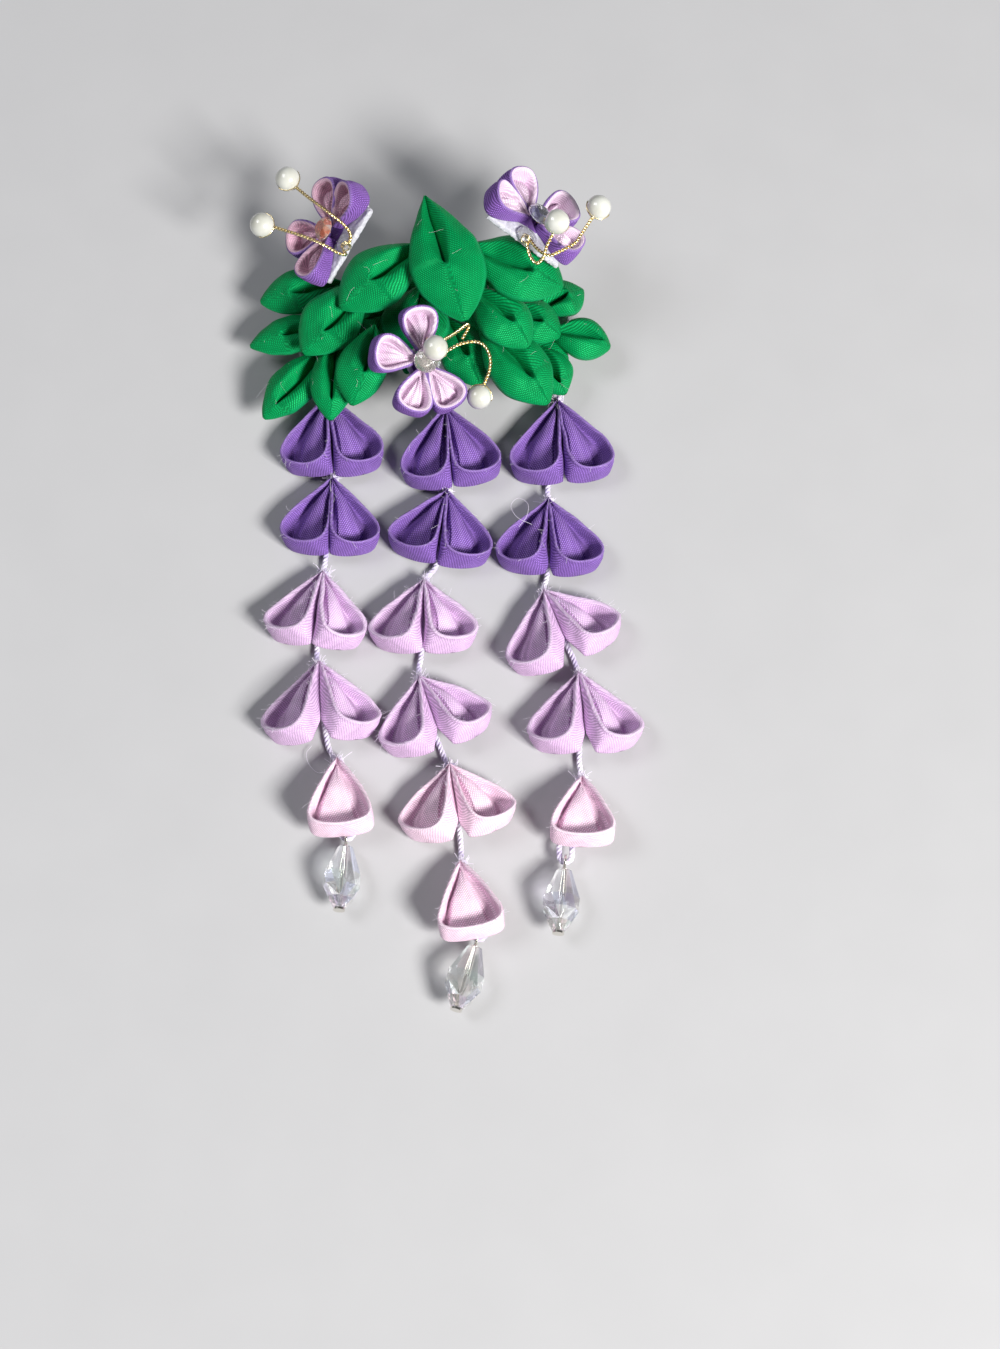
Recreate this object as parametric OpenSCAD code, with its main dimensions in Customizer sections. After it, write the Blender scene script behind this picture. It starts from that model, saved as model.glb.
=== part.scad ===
// Folded cloth hair clip: a spray of leaves with three butterflies, and three hanging strands of florets.
// It lies on its clip. X runs along the clip, the strands run towards -Y, and Z is up.

/* [Clip] */
// Length of the spring clip under the flowers
clip_length = 52; // [40:1:60]
// Width of the clip's steel strip
clip_width = 9; // [6:0.5:10]
// Thickness of the strip
clip_thick = 0.8; // [0.6:0.1:1.2]
// Gap between the two legs, where the hair goes in
clip_gap = 1.8; // [1.2:0.1:2]
// Thickness of the felt base that the leaves are glued to
base_thick = 1.6; // [1:0.1:2]

/* [Leaves] */
// Thickness of the largest folded leaves at their middle
leaf_thick = 4.8; // [3.5:0.1:5]
// Height that a leaf bows up between its root and its tip
leaf_bow = 0.8; // [0:0.1:1.5]

/* [Florets] */
// Width of a petal in a pair
petal_width = 10.4; // [8:0.2:11]
// Width of a petal that hangs alone
single_width = 12.6; // [10:0.2:14]
// Height of a petal's wall at its round end
petal_height = 5; // [4:0.2:6]
// Thickness of a petal's double cloth wall
petal_wall = 1; // [0.8:0.1:1.4]
// Angle that a petal hanging alone is tipped up, over the loop of its drop
single_tilt = 10; // [9:1:14]

/* [Butterflies] */
// Length of a wing
wing_length = 10; // [8:0.2:10.4]
// Width of a wing
wing_width = 7.6; // [6:0.2:8]
// Height of a wing's wall
wing_height = 4.6; // [3:0.2:5.4]
// Thickness of the white felt under a butterfly
felt_thick = 1.2; // [1:0.1:1.6]
// Diameter of the cut stone at its middle
stone_d = 5; // [4:0.2:5.4]
// Diameter of a pearl
pearl_d = 5; // [4:0.2:5.4]
// Diameter of a twisted antenna wire
wire_d = 0.8; // [0.6:0.1:1]

/* [Strands] */
// Diameter of the braided cord
cord_d = 1.2; // [1:0.1:1.3]
// Length of a crystal drop
crystal_length = 12.4; // [11:0.2:13]
// Largest diameter of a crystal drop
crystal_d = 7.4; // [6:0.2:7.6]
// Diameter of the wire of the crystal's pin
pin_d = 0.7; // [0.6:0.1:0.8]

/* [Hidden] */
$fn = 48;
clip_top = 2 * clip_thick + clip_gap;
steel = "#c9ccd1";
felt_white = "#e8e8ee";
leaf_green = "#00713a";
deep = "#5b3fa0";
lilac = "#b58fd6";
pale = "#efc9e6";
cord_lavender = "#cfc3e8";
gold = "#c9a24a";
pearl_white = "#f4f1ea";
crystal_clear = "#dfe8f6";

// Leaves, from the lowest layer up: name, root, tip, width and share of the full thickness
LEAVES = [
    ["leaf_left_far_low", [-17, -2, 7.2], [-37, -6.5, 5.8], 8.5, 0.8],
    ["leaf_left_far_high", [-17, 7, 8.2], [-35, 3, 7], 10, 0.88],
    ["leaf_left_corner", [-19.5, -7, 7.2], [-33.5, -23, 5.9], 9.5, 0.88],
    ["leaf_left_down", [-18.5, -4.5, 9.4], [-19.5, -25, 9.4], 9.5, 0.88],
    ["leaf_centre", [-1, 6, 9.9], [-3.5, -10, 8.9], 14.5, 0.92],
    ["leaf_centre_low", [4, -0.5, 7.4], [11, -16, 6.4], 10.5, 0.92],
    ["leaf_right_far_high", [22.5, 0.5, 7], [32.5, 6.5, 6], 9, 0.88],
    ["leaf_right_far_low", [24.5, -4, 7.4], [38, -7, 6.4], 9.5, 0.88],
    ["leaf_right_corner", [21.5, -6.5, 7], [28.5, -17.5, 5.9], 9, 0.88],
    ["leaf_left_middle", [-12, 4.5, 13.9], [-25.2, -11.4, 11.9], 12.5, 0.92],
    ["leaf_left_inner", [-10.5, -5.5, 14.3], [-15, -23, 12.3], 10.5, 0.92],
    ["leaf_right_inner", [16, 0, 11.2], [27.5, -6, 9.2], 9.5, 0.88],
    ["leaf_right_down", [10.5, -3.5, 11.7], [25, -21.5, 9.7], 12.8, 1],
    ["leaf_left_over", [-0.5, 10.5, 18.6], [-17.5, -3.5, 16.6], 13.5, 1],
    ["leaf_right_middle", [9, 2, 15.9], [21, -11, 14.5], 11, 0.92],
    ["leaf_right_over", [7.5, 9.5, 19.4], [28, 1, 16.9], 14.5, 1],
    ["leaf_crown", [-0.5, 20, 21.6], [8, -8.5, 20.6], 15.5, 1],
];

// Florets: name, root x and y, turn from straight down, angle between the petals (0 for a single),
// outward lean, foot length, cloth
FLORETS = [
    ["floret_left_1", -20.8, -16, 6, 36, 17, 18.6, deep],
    ["floret_left_2", -19.2, -34.4, -1, 34, 20, 17.6, deep],
    ["floret_left_3", -20.7, -55.3, -6, 36, 30, 17.2, lilac],
    ["floret_left_4", -21, -74.7, 4, 44, 36, 18, lilac],
    ["floret_left_5", -16.9, -94.5, 5, 0, 0, 16.2, pale],
    ["floret_middle_1", 3.8, -18.2, 5, 35, 17, 18.8, deep],
    ["floret_middle_2", 4.2, -37.4, -7, 40, 20, 17, deep],
    ["floret_middle_3", -0.3, -57, 0, 42, 26, 16, lilac],
    ["floret_middle_4", -0.9, -77.6, 18, 50, 28, 16.8, lilac],
    ["floret_middle_5", 5.2, -95.7, 9, 50, 30, 16.4, pale],
    ["floret_middle_6", 7.4, -115.2, 10, 0, 0, 15.8, pale],
    ["floret_right_1", 26.9, -17, 4, 36, 17, 18.8, deep],
    ["floret_right_2", 24.9, -39.4, 0, 42, 22, 17, deep],
    ["floret_right_3", 23.9, -59.4, 21, 52, 28, 17.4, lilac],
    ["floret_right_4", 30.6, -76.8, 5, 44, 30, 17.8, lilac],
    ["floret_right_5", 31.1, -98.2, -1, 0, 0, 14.4, pale],
];

// Cords, point by point from under the felt base down to the loop in the pin's eye
CORD_LEFT = [
    [-20.3, -5.8, 2.5], [-20.6, -9.5, 2.4], [-20.8, -12.6, 1.7], [-20.8, -16, 0.8], [-20.3, -24, 0.7],
    [-19.3, -33, 0.7], [-19.6, -42, 0.7], [-20.4, -51, 0.7], [-20.7, -54.6, 0.7], [-21.3, -63, 0.7],
    [-21.7, -71.5, 0.7], [-21.3, -74.8, 0.7], [-20.4, -82, 0.7], [-19, -91, 0.7], [-17.1, -94.6, 0.7],
    [-16.4, -100, 0.7], [-16.3, -105, 1]
];
CORD_MIDDLE = [
    [3.6, -5.8, 2.5], [3.7, -9.5, 2.4], [3.7, -14, 1.6], [3.8, -18.2, 0.8], [3.9, -27, 0.7],
    [4.1, -36, 0.7], [3.4, -45, 0.7], [2, -53, 0.7], [0, -56.2, 0.7], [-0.5, -64, 0.7],
    [-0.8, -72, 0.7], [-1.2, -77, 0.7], [0.8, -85, 0.7], [3.8, -93, 0.7], [5.4, -97, 0.7],
    [6.4, -103, 0.7], [7.3, -110.5, 0.7], [7.5, -115, 0.7], [8.3, -120.5, 0.7], [8.9, -125, 1]
];
CORD_RIGHT = [
    [23.6, -5.8, 2.5], [24.6, -9.5, 2.3], [25.8, -12.6, 1.6], [26.8, -17, 0.8], [26.2, -26, 0.7],
    [24.8, -36, 0.7], [25, -39.6, 0.7], [24.8, -47, 0.7], [24.5, -55, 0.7], [23.9, -59.2, 0.7],
    [26.6, -66, 0.7], [29.8, -73.3, 0.7], [30.5, -77, 0.7], [31.1, -85, 0.7], [30.6, -93.5, 0.7],
    [30.9, -98, 0.7], [29.8, -104, 0.7], [28.4, -109.5, 1]
];
// Last bend of a cord, in its drop's own frame: across, back along the strand, height above the eye
cord_loop = [
    [-1.3, 3.6, -0.5], [-1.2, 1, 0], [-0.7, 0.1, 0], [0, -0.12, 0],
    [0.7, 0.1, 0], [1.2, 1, 0], [1.1, 3, 0]
];
// Strands: name ending, cord, eye of the pin x and y, turn of the drop from straight down
STRANDS = [
    ["left", CORD_LEFT, -14.8, -110.3, -4],
    ["middle", CORD_MIDDLE, 10.7, -130, -16],
    ["right", CORD_RIGHT, 27.6, -114.9, -6],
];

// Antenna wires, from the head out to the pearl
WIRES_LEFT = [
    [
        [-15.6, 8.4, 21.6], [-15.3, 10.1, 23], [-16.7, 11.6, 24.6],
        [-19.5, 13.8, 25.2], [-23.3, 17.3, 24.4], [-26.4, 20.6, 23.3]
    ],
    [
        [-16.6, 7.4, 20.8], [-16.2, 6, 22], [-17.7, 5.9, 23],
        [-20.5, 7.5, 23.4], [-24.6, 9.7, 22.8], [-30.8, 12.6, 21.4]
    ]
];
WIRES_CENTRE = [
    [
        [7.4, -10.5, 17.3], [8.4, -8.6, 17.4], [8.7, -7.6, 18],
        [8, -8.2, 18.7], [6.3, -10.3, 20], [3.5, -13.9, 23.2]
    ],
    [
        [2.3, -13.4, 15.8], [4.2, -12.7, 16.4], [6.8, -11.7, 17.4], [9.9, -11.2, 17.6],
        [11.9, -12, 17.4], [13, -14.3, 17], [12.9, -16.9, 16.4], [11.8, -19.3, 14.9]
    ]
];
WIRES_RIGHT = [
    [
        [20.8, 7.8, 25.6], [22.6, 4.8, 26.4], [24.7, 3.4, 26.6], [26.9, 4.1, 26.8],
        [30, 6, 26.8], [31.2, 7.9, 26.6], [33.6, 12.1, 26.2]
    ],
    [
        [20.3, 6.8, 26], [21, 3.7, 25.8], [22.3, 2.1, 25.8],
        [23.6, 2.8, 26.8], [24.3, 4.7, 27.8], [25.5, 6.8, 29]
    ]
];
// Felt under each butterfly: depth, length, reach in front of the middle
FELT_SIDE = [11, 17.6, 5.4];
FELT_CENTRE = [6.2, 6.2, 3];
// Butterflies: name ending, middle, lean, way it leans, spin of the head, wing angles, wires, pearls, felt
BUTTERFLIES = [
    [
        "left", [-18.3, 12.7, 18.4], 46, 183, 127, [85, 138, -137, -77],
        WIRES_LEFT, [[-28.3, 22.7, 23], [-33.4, 13.3, 21]], FELT_SIDE
    ],
    [
        "centre", [-0.7, -14.8, 15.5], 24, -50, 74, [78, 150, -129, -76],
        WIRES_CENTRE, [[2.2, -16, 24.5], [10.8, -21.5, 13.5]], FELT_CENTRE
    ],
    [
        "right", [21, 12.3, 23.1], 36, 20, 230, [83, 145, -134, -78],
        WIRES_RIGHT, [[26.3, 8.4, 31], [34.9, 14.5, 26]], FELT_SIDE
    ],
];
PARTS = ["felt", "wings", "stone", "wires", "pearls"];

function unit(v) = v / norm(v);

// Two triangles for each side between two rings of points that start at these numbers
function band(first, second, count) = [
    for (i = [0:count - 1])
        let (j = (i + 1) % count)
        each [[first + i, first + j, second + j], [first + i, second + j, second + i]]
];

// Faces that close a ring whose points mirror each other about its first and middle ones
function strip_cap(first, count) = concat(
    [[first, first + count - 1, first + 1]],
    [for (i = [1:count / 2 - 2])
        each [
            [first + i, first + count - i, first + count - i - 1],
            [first + i, first + count - i - 1, first + i + 1]
        ]],
    [[first + count / 2 - 1, first + count / 2 + 1, first + count / 2]]
);

// Faces that close a ring from its first point
function fan_cap(first, count) = [for (i = [1:count - 2]) [first, first + i + 1, first + i]];

function reversed(faces) = [for (face = faces) [face[2], face[1], face[0]]];

// Folded petal, drawn along +X from its pinched root. Angle a runs once round its teardrop outline.
petal_steps = 18;
foot_corner = 40;
function tear_x(a) = pow(sin(a / 2), 2);
function tear_y(a, plump) =
    let (t = tear_x(a))
    sign(180 - a) * pow(t, plump) * sqrt(max(0, 1 - pow(t, 6))) / (0.688 + 0.17 * (1 - plump));
function rim_z(a, root_h, far_h) = root_h + (far_h - root_h) * pow(sin(a / 2), 1.3);
// Share of a straight far edge's half width at this angle
function far_edge(a) = min(1, abs(a - 180) / foot_corner) * sign(180 - a);

// The slope is that of the line its foot meets the other petal of the pair along, or 0 for a petal alone.
// A plump of 1 gives straight sides and less gives fuller ones.
module petal(foot_length, width, far_h, wall, slope, plump) {
    root_h = 0.36 * far_h;
    half = width / 2;
    length = 0.975 * foot_length;
    angles = [for (i = [0:petal_steps - 1]) i * 360 / petal_steps];
    foot = [for (a = angles)
        let (x = foot_length * (1 - pow(abs(cos(a / 2)), 2.6)))
        let (met = min(slope * x, 1.1 * half) * far_edge(a))
        [x, a > 180 && slope > 0 ? met : 0.95 * half * tear_y(a, plump), 0]
    ];
    rim = [for (a = angles) [length * tear_x(a), half * tear_y(a, plump), rim_z(a, root_h, far_h)]];
    belly = [for (i = [0:petal_steps - 1]) [
        (foot[i][0] + rim[i][0]) / 2,
        (foot[i][1] + rim[i][1]) / 2,
        rim[i][2] / 2
    ]];
    lip = [for (a = angles) [
        1.6 * wall + (length - 2.6 * wall) * tear_x(a),
        (half - wall) * tear_y(a, plump),
        rim_z(a, root_h, far_h) - 0.15
    ]];
    groove = [for (a = angles)
        let (top = rim_z(a, root_h, far_h) - 0.3)
        [
            1.8 * wall + (length - 3 * wall) * tear_x(a),
            (half - 1.2 * wall) * tear_y(a, plump),
            top - (top - wall) * pow(sin(a / 2), 0.6)
        ]
    ];
    tongue = [for (a = angles) [
        2 * wall + (length - 4.4 * wall) * tear_x(a),
        0.62 * (half - wall) * min(tear_x(a) / 0.88, abs(far_edge(a))) * sign(180 - a),
        root_h + 0.28 * far_h * sin(205 * tear_x(a)) - 0.1
    ]];
    polyhedron(
        points = concat(foot, belly, rim, lip, groove, tongue),
        faces = concat(
            strip_cap(0, petal_steps),
            [for (ring = [0:4]) each band(ring * petal_steps, (ring + 1) * petal_steps, petal_steps)],
            reversed(strip_cap(5 * petal_steps, petal_steps))
        ),
        convexity = 6
    );
}

// Folded leaf: two puffed lobes with a crease between them that ends in a dimple before the tip
leaf_stations = [0.05, 0.15, 0.27, 0.39, 0.5, 0.6, 0.71, 0.81, 0.91];
leaf_sides = 12;
function crease(u) = u < 0.52 ? 1 : max(0, (0.64 - u) / 0.12);
function leaf_section(u) =
    let (c = crease(u))
    [
        [1, 0], [0.86, 0.3], [0.5, 0.5], [0.16, 0.5 - 0.14 * c], [0, 0.5 - 0.6 * c], [-0.16, 0.5 - 0.14 * c],
        [-0.5, 0.5], [-0.86, 0.3], [-1, 0], [-0.75, -0.28], [0, -0.42], [0.75, -0.28]
    ];

module leaf(root, tip, width, share) {
    length = norm(tip - root);
    along = unit(tip - root);
    across = unit(cross([0, 0, 1], along));
    out = cross(along, across);
    rings = [for (u = leaf_stations)
        let (half = width / 2 * pow(sin(180 * pow(u, 1.25)), 0.8))
        let (thick = leaf_thick * share * pow(sin(180 * pow(u, 1.1)), 0.6))
        let (middle = root + along * length * u + out * leaf_bow * sin(180 * u))
        for (point = leaf_section(u)) middle + across * half * point[0] + out * thick * point[1]
    ];
    last = len(leaf_stations) - 1;
    start = len(rings);
    color(leaf_green)
    polyhedron(
        points = concat(rings, [root, tip]),
        faces = concat(
            [for (i = [0:leaf_sides - 1]) [start, i, (i + 1) % leaf_sides]],
            [for (ring = [0:last - 1])
                each reversed(band(ring * leaf_sides, (ring + 1) * leaf_sides, leaf_sides))],
            [for (i = [0:leaf_sides - 1])
                [start + 1, last * leaf_sides + (i + 1) % leaf_sides, last * leaf_sides + i]]
        ),
        convexity = 4
    );
}

// Round-sided bar that follows a path
tube_sides = 6;
function ahead(path, i) = unit(path[min(i + 1, len(path) - 1)] - path[max(i - 1, 0)]);

module tube(path, radius) {
    rings = [for (i = [0:len(path) - 1])
        let (along = ahead(path, i))
        let (across = unit(cross([0, 0, 1], along)))
        let (over = cross(along, across))
        for (side = [0:tube_sides - 1])
            path[i] + radius * (across * cos(side * 360 / tube_sides) + over * sin(side * 360 / tube_sides))
    ];
    polyhedron(
        points = rings,
        faces = concat(
            reversed(fan_cap(0, tube_sides)),
            [for (ring = [0:len(path) - 2])
                each reversed(band(ring * tube_sides, (ring + 1) * tube_sides, tube_sides))],
            fan_cap((len(path) - 1) * tube_sides, tube_sides)
        ),
        convexity = 6
    );
}

// Point half way between two points of a path, on a smooth curve through its neighbours
function halfway(path, i) =
    let (before = path[max(i - 1, 0)])
    let (after = path[min(i + 2, len(path) - 1)])
    0.5625 * (path[i] + path[i + 1]) - 0.0625 * (before + after);
function smooth(path) = concat(
    [for (i = [0:len(path) - 2]) each [path[i], halfway(path, i)]],
    [path[len(path) - 1]]
);

// Steel strip bent back on itself, its upper leg shorter at the mouth
mouth_step = 1.5;
module clip() {
    bend = clip_top / 2;
    color(steel)
    translate([0, clip_width / 2, 0])
    rotate([90, 0, 0])
    linear_extrude(clip_width) {
        translate([-clip_length / 2 + bend, 0]) square([clip_length - bend, clip_thick]);
        translate([-clip_length / 2 + bend, clip_thick + clip_gap])
            square([clip_length - bend - mouth_step, clip_thick]);
        intersection() {
            translate([-clip_length / 2 + bend, bend])
            difference() {
                circle(bend);
                circle(clip_gap / 2);
            }
            translate([-clip_length / 2 - 1, 0]) square([bend + 1, clip_top]);
        }
    }
}

// White felt that the leaves are glued to, with a lobe over the top of each strand: x, y and radius
base_length = 50;
base_width = 9;
BASE_LOBES = [[-21, -8.4, 5.6], [3, -8.5, 5.2], [24, -6.6, 5.4]];
module base() {
    color(felt_white)
    translate([0, 0, clip_top])
    linear_extrude(base_thick) {
        translate([-base_length / 2, -base_width / 2]) square([base_length, base_width]);
        for (lobe = BASE_LOBES)
            hull() {
                translate([lobe[0], 0]) circle(lobe[2], $fn = 32);
                translate([lobe[0], lobe[1]]) circle(lobe[2], $fn = 32);
            }
    }
}

// Pair of petals side by side, leaning outwards over the cord, or one petal alone
cord_clear = cord_d + 0.35;
module floret(turn, splay, lean, length, cloth) {
    rise = asin((0.49 * petal_width * sin(lean) + 0.2 - cord_clear) / (0.8 * length));
    color(cloth)
    rotate(turn - 90)
    if (splay == 0) {
        translate([0, 0, cord_clear])
        rotate([0, -single_tilt, 0])
        petal(length, single_width, petal_height, petal_wall, 0, 0.8);
    } else {
        for (way = [0, 1])
            mirror([0, way, 0])
            translate([0, 0, cord_clear])
            rotate([0, -rise, splay / 2])
            rotate([-lean, 0, 0])
            petal(length, petal_width, petal_height, petal_wall, 0.97 * tan(splay / 2) / cos(lean), 1);
    }
}

// Cut drop with a hole along its length, narrow end first along -Y
hole_clear = 0.2;
crystal_sides = 8;
crystal_rings = [[0, 0.4], [0.2, 0.72], [0.4, 0.95], [0.58, 1], [0.82, 0.72], [1, 0.34]];

module crystal() {
    rings = [for (i = [0:len(crystal_rings) - 1])
        for (side = [0:crystal_sides - 1])
            let (a = (side + i / 2) * 360 / crystal_sides)
            let (r = crystal_d / 2 * crystal_rings[i][1])
            [r * cos(a), -crystal_length * crystal_rings[i][0], r * sin(a)]
    ];
    color(crystal_clear)
    difference() {
        polyhedron(
            points = rings,
            faces = concat(
                reversed(fan_cap(0, crystal_sides)),
                [for (i = [0:len(crystal_rings) - 2])
                    each reversed(band(i * crystal_sides, (i + 1) * crystal_sides, crystal_sides))],
                fan_cap((len(crystal_rings) - 1) * crystal_sides, crystal_sides)
            ),
            convexity = 2
        );
        translate([0, 1, 0])
            rotate([90, 0, 0])
            cylinder(r = pin_d / 2 + hole_clear, h = crystal_length + 2, $fn = 8);
    }
}

eye_r = 1.15;
eye_wire = 0.3;
crystal_start = 1.9;
pin_head_r = 1.15;
pin_head_thick = 0.4;
pin_head_gap = 0.15;

// Wire pin through the drop: an eye at one end, a flat head at the other
module pin() {
    reach = crystal_start + crystal_length + pin_head_gap;
    color(gold) {
        rotate([0, 90, 0]) rotate_extrude() translate([eye_r, 0]) circle(eye_wire);
        translate([0, -eye_r, 0]) rotate([90, 0, 0]) cylinder(r = pin_d / 2, h = reach - eye_r + pin_head_thick / 2);
        translate([0, -reach, 0]) rotate([90, 0, 0]) cylinder(r = pin_head_r, h = pin_head_thick);
    }
}

// Stands a drop's own frame at the end of its strand, with its widest part resting on the table
eye_z = 2.6;
drop_tilt = -8;
module at_drop(strand) {
    translate([strand[2], strand[3], eye_z])
    rotate(strand[4])
    rotate([drop_tilt, 0, 0])
    children();
}

module cord(strand) {
    turn = strand[4];
    loop = [for (point = cord_loop) [
        strand[2] + point[0] * cos(turn) - point[1] * sin(turn),
        strand[3] + point[0] * sin(turn) + point[1] * cos(turn),
        eye_z + point[2]
    ]];
    color(cord_lavender)
    tube(concat(smooth(strand[1]), loop), cord_d / 2);
}

// Butterfly pieces, drawn with the head along +X on the felt's top
wing_root = 1.2;
wing_lift = 0.15;
wing_wall = 0.8;
stone_z = 2.9;

module at_butterfly(row) {
    translate(row[1]) rotate([0, row[2], row[3]]) rotate(row[4]) children();
}

module felt(size) {
    color(felt_white)
    translate([size[2] - size[0], -size[1] / 2, -felt_thick]) cube([size[0], size[1], felt_thick]);
}

module wings(angles) {
    color(lilac)
    for (a = angles)
        rotate(a)
            translate([wing_root, 0, wing_lift])
            petal(wing_length, wing_width, wing_height, wing_wall, 0, 0.8);
}

stone_rings = [[0, 0.9], [0.7, 1], [1.9, 0.55]];
module stone() {
    points = [for (ring = stone_rings)
        for (side = [0:7])
            [stone_d / 2 * ring[1] * cos(side * 45), stone_d / 2 * ring[1] * sin(side * 45), ring[0]]
    ];
    color(crystal_clear)
    translate([0, 0, stone_z])
    polyhedron(
        points = points,
        faces = concat(
            reversed(fan_cap(0, 8)),
            reversed(band(0, 8, 8)),
            reversed(band(8, 16, 8)),
            fan_cap(16, 8)
        ),
        convexity = 2
    );
}

module butterfly_part(row, part) {
    if (part == "felt") at_butterfly(row) felt(row[8]);
    if (part == "wings") at_butterfly(row) wings(row[5]);
    if (part == "stone") at_butterfly(row) stone();
    if (part == "wires") color(gold) for (path = row[6]) tube(path, wire_d / 2);
    if (part == "pearls") color(pearl_white) for (place = row[7]) translate(place) sphere(d = pearl_d);
}

clip();
base();
for (row = LEAVES) leaf(row[1], row[2], row[3], row[4]);
for (row = FLORETS)
    translate([row[1], row[2], 0]) floret(row[3], row[4], row[5], row[6], row[7]);
for (row = STRANDS) cord(row);
for (row = STRANDS)
    at_drop(row) translate([0, -crystal_start, 0]) crystal();
for (row = STRANDS) at_drop(row) pin();
for (row = BUTTERFLIES)
    for (part = PARTS)
        butterfly_part(row, part);
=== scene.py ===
# Looks of a folded cloth hair clip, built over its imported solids, section by section as it is made.
import math

import bpy
import numpy as np
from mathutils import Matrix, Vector


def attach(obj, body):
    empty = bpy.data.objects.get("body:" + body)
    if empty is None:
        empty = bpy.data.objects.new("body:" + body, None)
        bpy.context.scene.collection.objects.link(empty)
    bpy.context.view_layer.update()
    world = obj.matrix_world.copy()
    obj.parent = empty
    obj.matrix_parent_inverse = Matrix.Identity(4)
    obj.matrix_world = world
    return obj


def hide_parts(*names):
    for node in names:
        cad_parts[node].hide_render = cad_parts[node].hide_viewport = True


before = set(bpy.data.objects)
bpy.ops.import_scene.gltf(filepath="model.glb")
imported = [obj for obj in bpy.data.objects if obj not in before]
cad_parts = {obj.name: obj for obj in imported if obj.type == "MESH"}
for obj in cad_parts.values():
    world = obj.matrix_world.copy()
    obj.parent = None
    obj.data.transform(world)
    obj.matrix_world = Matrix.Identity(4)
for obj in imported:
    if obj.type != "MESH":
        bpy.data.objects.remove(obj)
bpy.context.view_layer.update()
MM = 0.001

# The photograph's view
# The camera stands about 45 cm off, nearly above the strands and tipped towards the leaves.
camera_spot = Vector((0.015, -0.21506, 0.42798))
camera_aim = Vector((0.015, -0.076, 0))
lens_data = bpy.data.cameras.new("camera")
lens_data.lens = 60.04
lens_data.sensor_width = 36
lens_data.clip_start = 0.01
camera = bpy.data.objects.new("camera", lens_data)
bpy.context.scene.collection.objects.link(camera)
camera.location = camera_spot
camera.rotation_euler = (camera_aim - camera_spot).to_track_quat("-Z", "Y").to_euler()
bpy.context.scene.camera = camera
bpy.context.scene.view_settings.view_transform = "Standard"


# Floor and light
# A pale, slightly satin table top. One soft window stands low on the right, as in the photograph,
# with a weak fill from the left and an even sky.
def fill(tree, node, links):
    """Gives inputs of a node a socket or a plain value each."""
    for label, value in dict(links).items():
        if isinstance(value, bpy.types.NodeSocket):
            tree.links.new(value, node.inputs[label])
        else:
            node.inputs[label].default_value = value


def add_node(tree, kind, links=(), **settings):
    node = tree.nodes.new(kind)
    for name, value in settings.items():
        setattr(node, name, value)
    fill(tree, node, links)
    return node


def feed(finish, **links):
    """Fills inputs of a material's shader, with an underscore for each space in their names."""
    links = {label.replace("_", " "): value for label, value in links.items()}
    fill(finish.node_tree, finish.node_tree.nodes["Principled BSDF"], links)


def new_finish(name, colour, roughness, **more):
    """A plain material. More fills other inputs of its shader."""
    finish = bpy.data.materials.new(name)
    finish.use_nodes = True
    finish.diffuse_color = (*colour, 1)
    feed(finish, Base_Color=(*colour, 1), Roughness=roughness, **more)
    return finish


def noise_at(tree, place, scale, detail, roughness=0.5):
    """The outputs of a noise texture at this place."""
    links = {"Vector": place, "Scale": scale, "Detail": detail, "Roughness": roughness}
    return add_node(tree, "ShaderNodeTexNoise", links).outputs


def noise_on(finish, scale, detail, roughness=0.5, stretch=None):
    """Noise that is fixed to the piece, at other scales along its axes if stretch is given."""
    place = add_node(finish.node_tree, "ShaderNodeTexCoord").outputs["Object"]
    if stretch:
        mapping = add_node(finish.node_tree, "ShaderNodeMapping", {"Vector": place, "Scale": stretch})
        place = mapping.outputs["Vector"]
    return noise_at(finish.node_tree, place, scale, detail, roughness)["Fac"]


def tint_by(finish, value, low, high):
    """The base colour follows a value. Low and high are each a value and its colour."""
    ramp = add_node(finish.node_tree, "ShaderNodeValToRGB", {"Fac": value})
    for stop, (position, colour) in zip(ramp.color_ramp.elements, (low, high)):
        stop.position = position
        stop.color = (*colour, 1)
    feed(finish, Base_Color=ramp.outputs["Color"])


bpy.ops.mesh.primitive_plane_add(size=3, location=(0, 0, -0.05 * MM))
table = bpy.context.object
table.name = "table"
table_top = new_finish("table top", (0.5, 0.5, 0.51), 0.5)
tint_by(table_top, noise_on(table_top, 60, 4), (0, (0.485, 0.485, 0.495)), (1, (0.515, 0.515, 0.525)))
table.data.materials.append(table_top)


def add_window(name, place, aim, size, power, colour):
    light = bpy.data.lights.new(name, "AREA")
    light.shape = "RECTANGLE"
    light.size, light.size_y = size
    light.energy = power
    light.color = colour
    lamp = bpy.data.objects.new(name, light)
    bpy.context.scene.collection.objects.link(lamp)
    lamp.location = place
    lamp.rotation_euler = (Vector(aim) - lamp.location).to_track_quat("-Z", "Y").to_euler()


add_window("window", (0.9, -0.86, 1.0), (0.01, -0.05, 0.01), (0.5, 0.4), 41, (1, 0.985, 0.96))
add_window("second window", (-0.75, 0.15, 1.05), (0, -0.06, 0), (0.5, 0.5), 5, (0.94, 0.96, 1))
world = bpy.data.worlds.new("room")
bpy.context.scene.world = world
world.use_nodes = True
world.node_tree.nodes["Background"].inputs["Color"].default_value = (0.9, 0.93, 1, 1)
world.node_tree.nodes["Background"].inputs["Strength"].default_value = 0.095


# Steel clip
# A flat strip of steel bent back on itself, hidden under the leaves. Hair goes between its two legs.
# It is brushed along its length and its corners are rounded.
def select_only(*pieces):
    """Selects these pieces and nothing else. The first one is active."""
    bpy.ops.object.select_all(action="DESELECT")
    for piece in pieces:
        piece.select_set(True)
    bpy.context.view_layer.objects.active = pieces[0]


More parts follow.
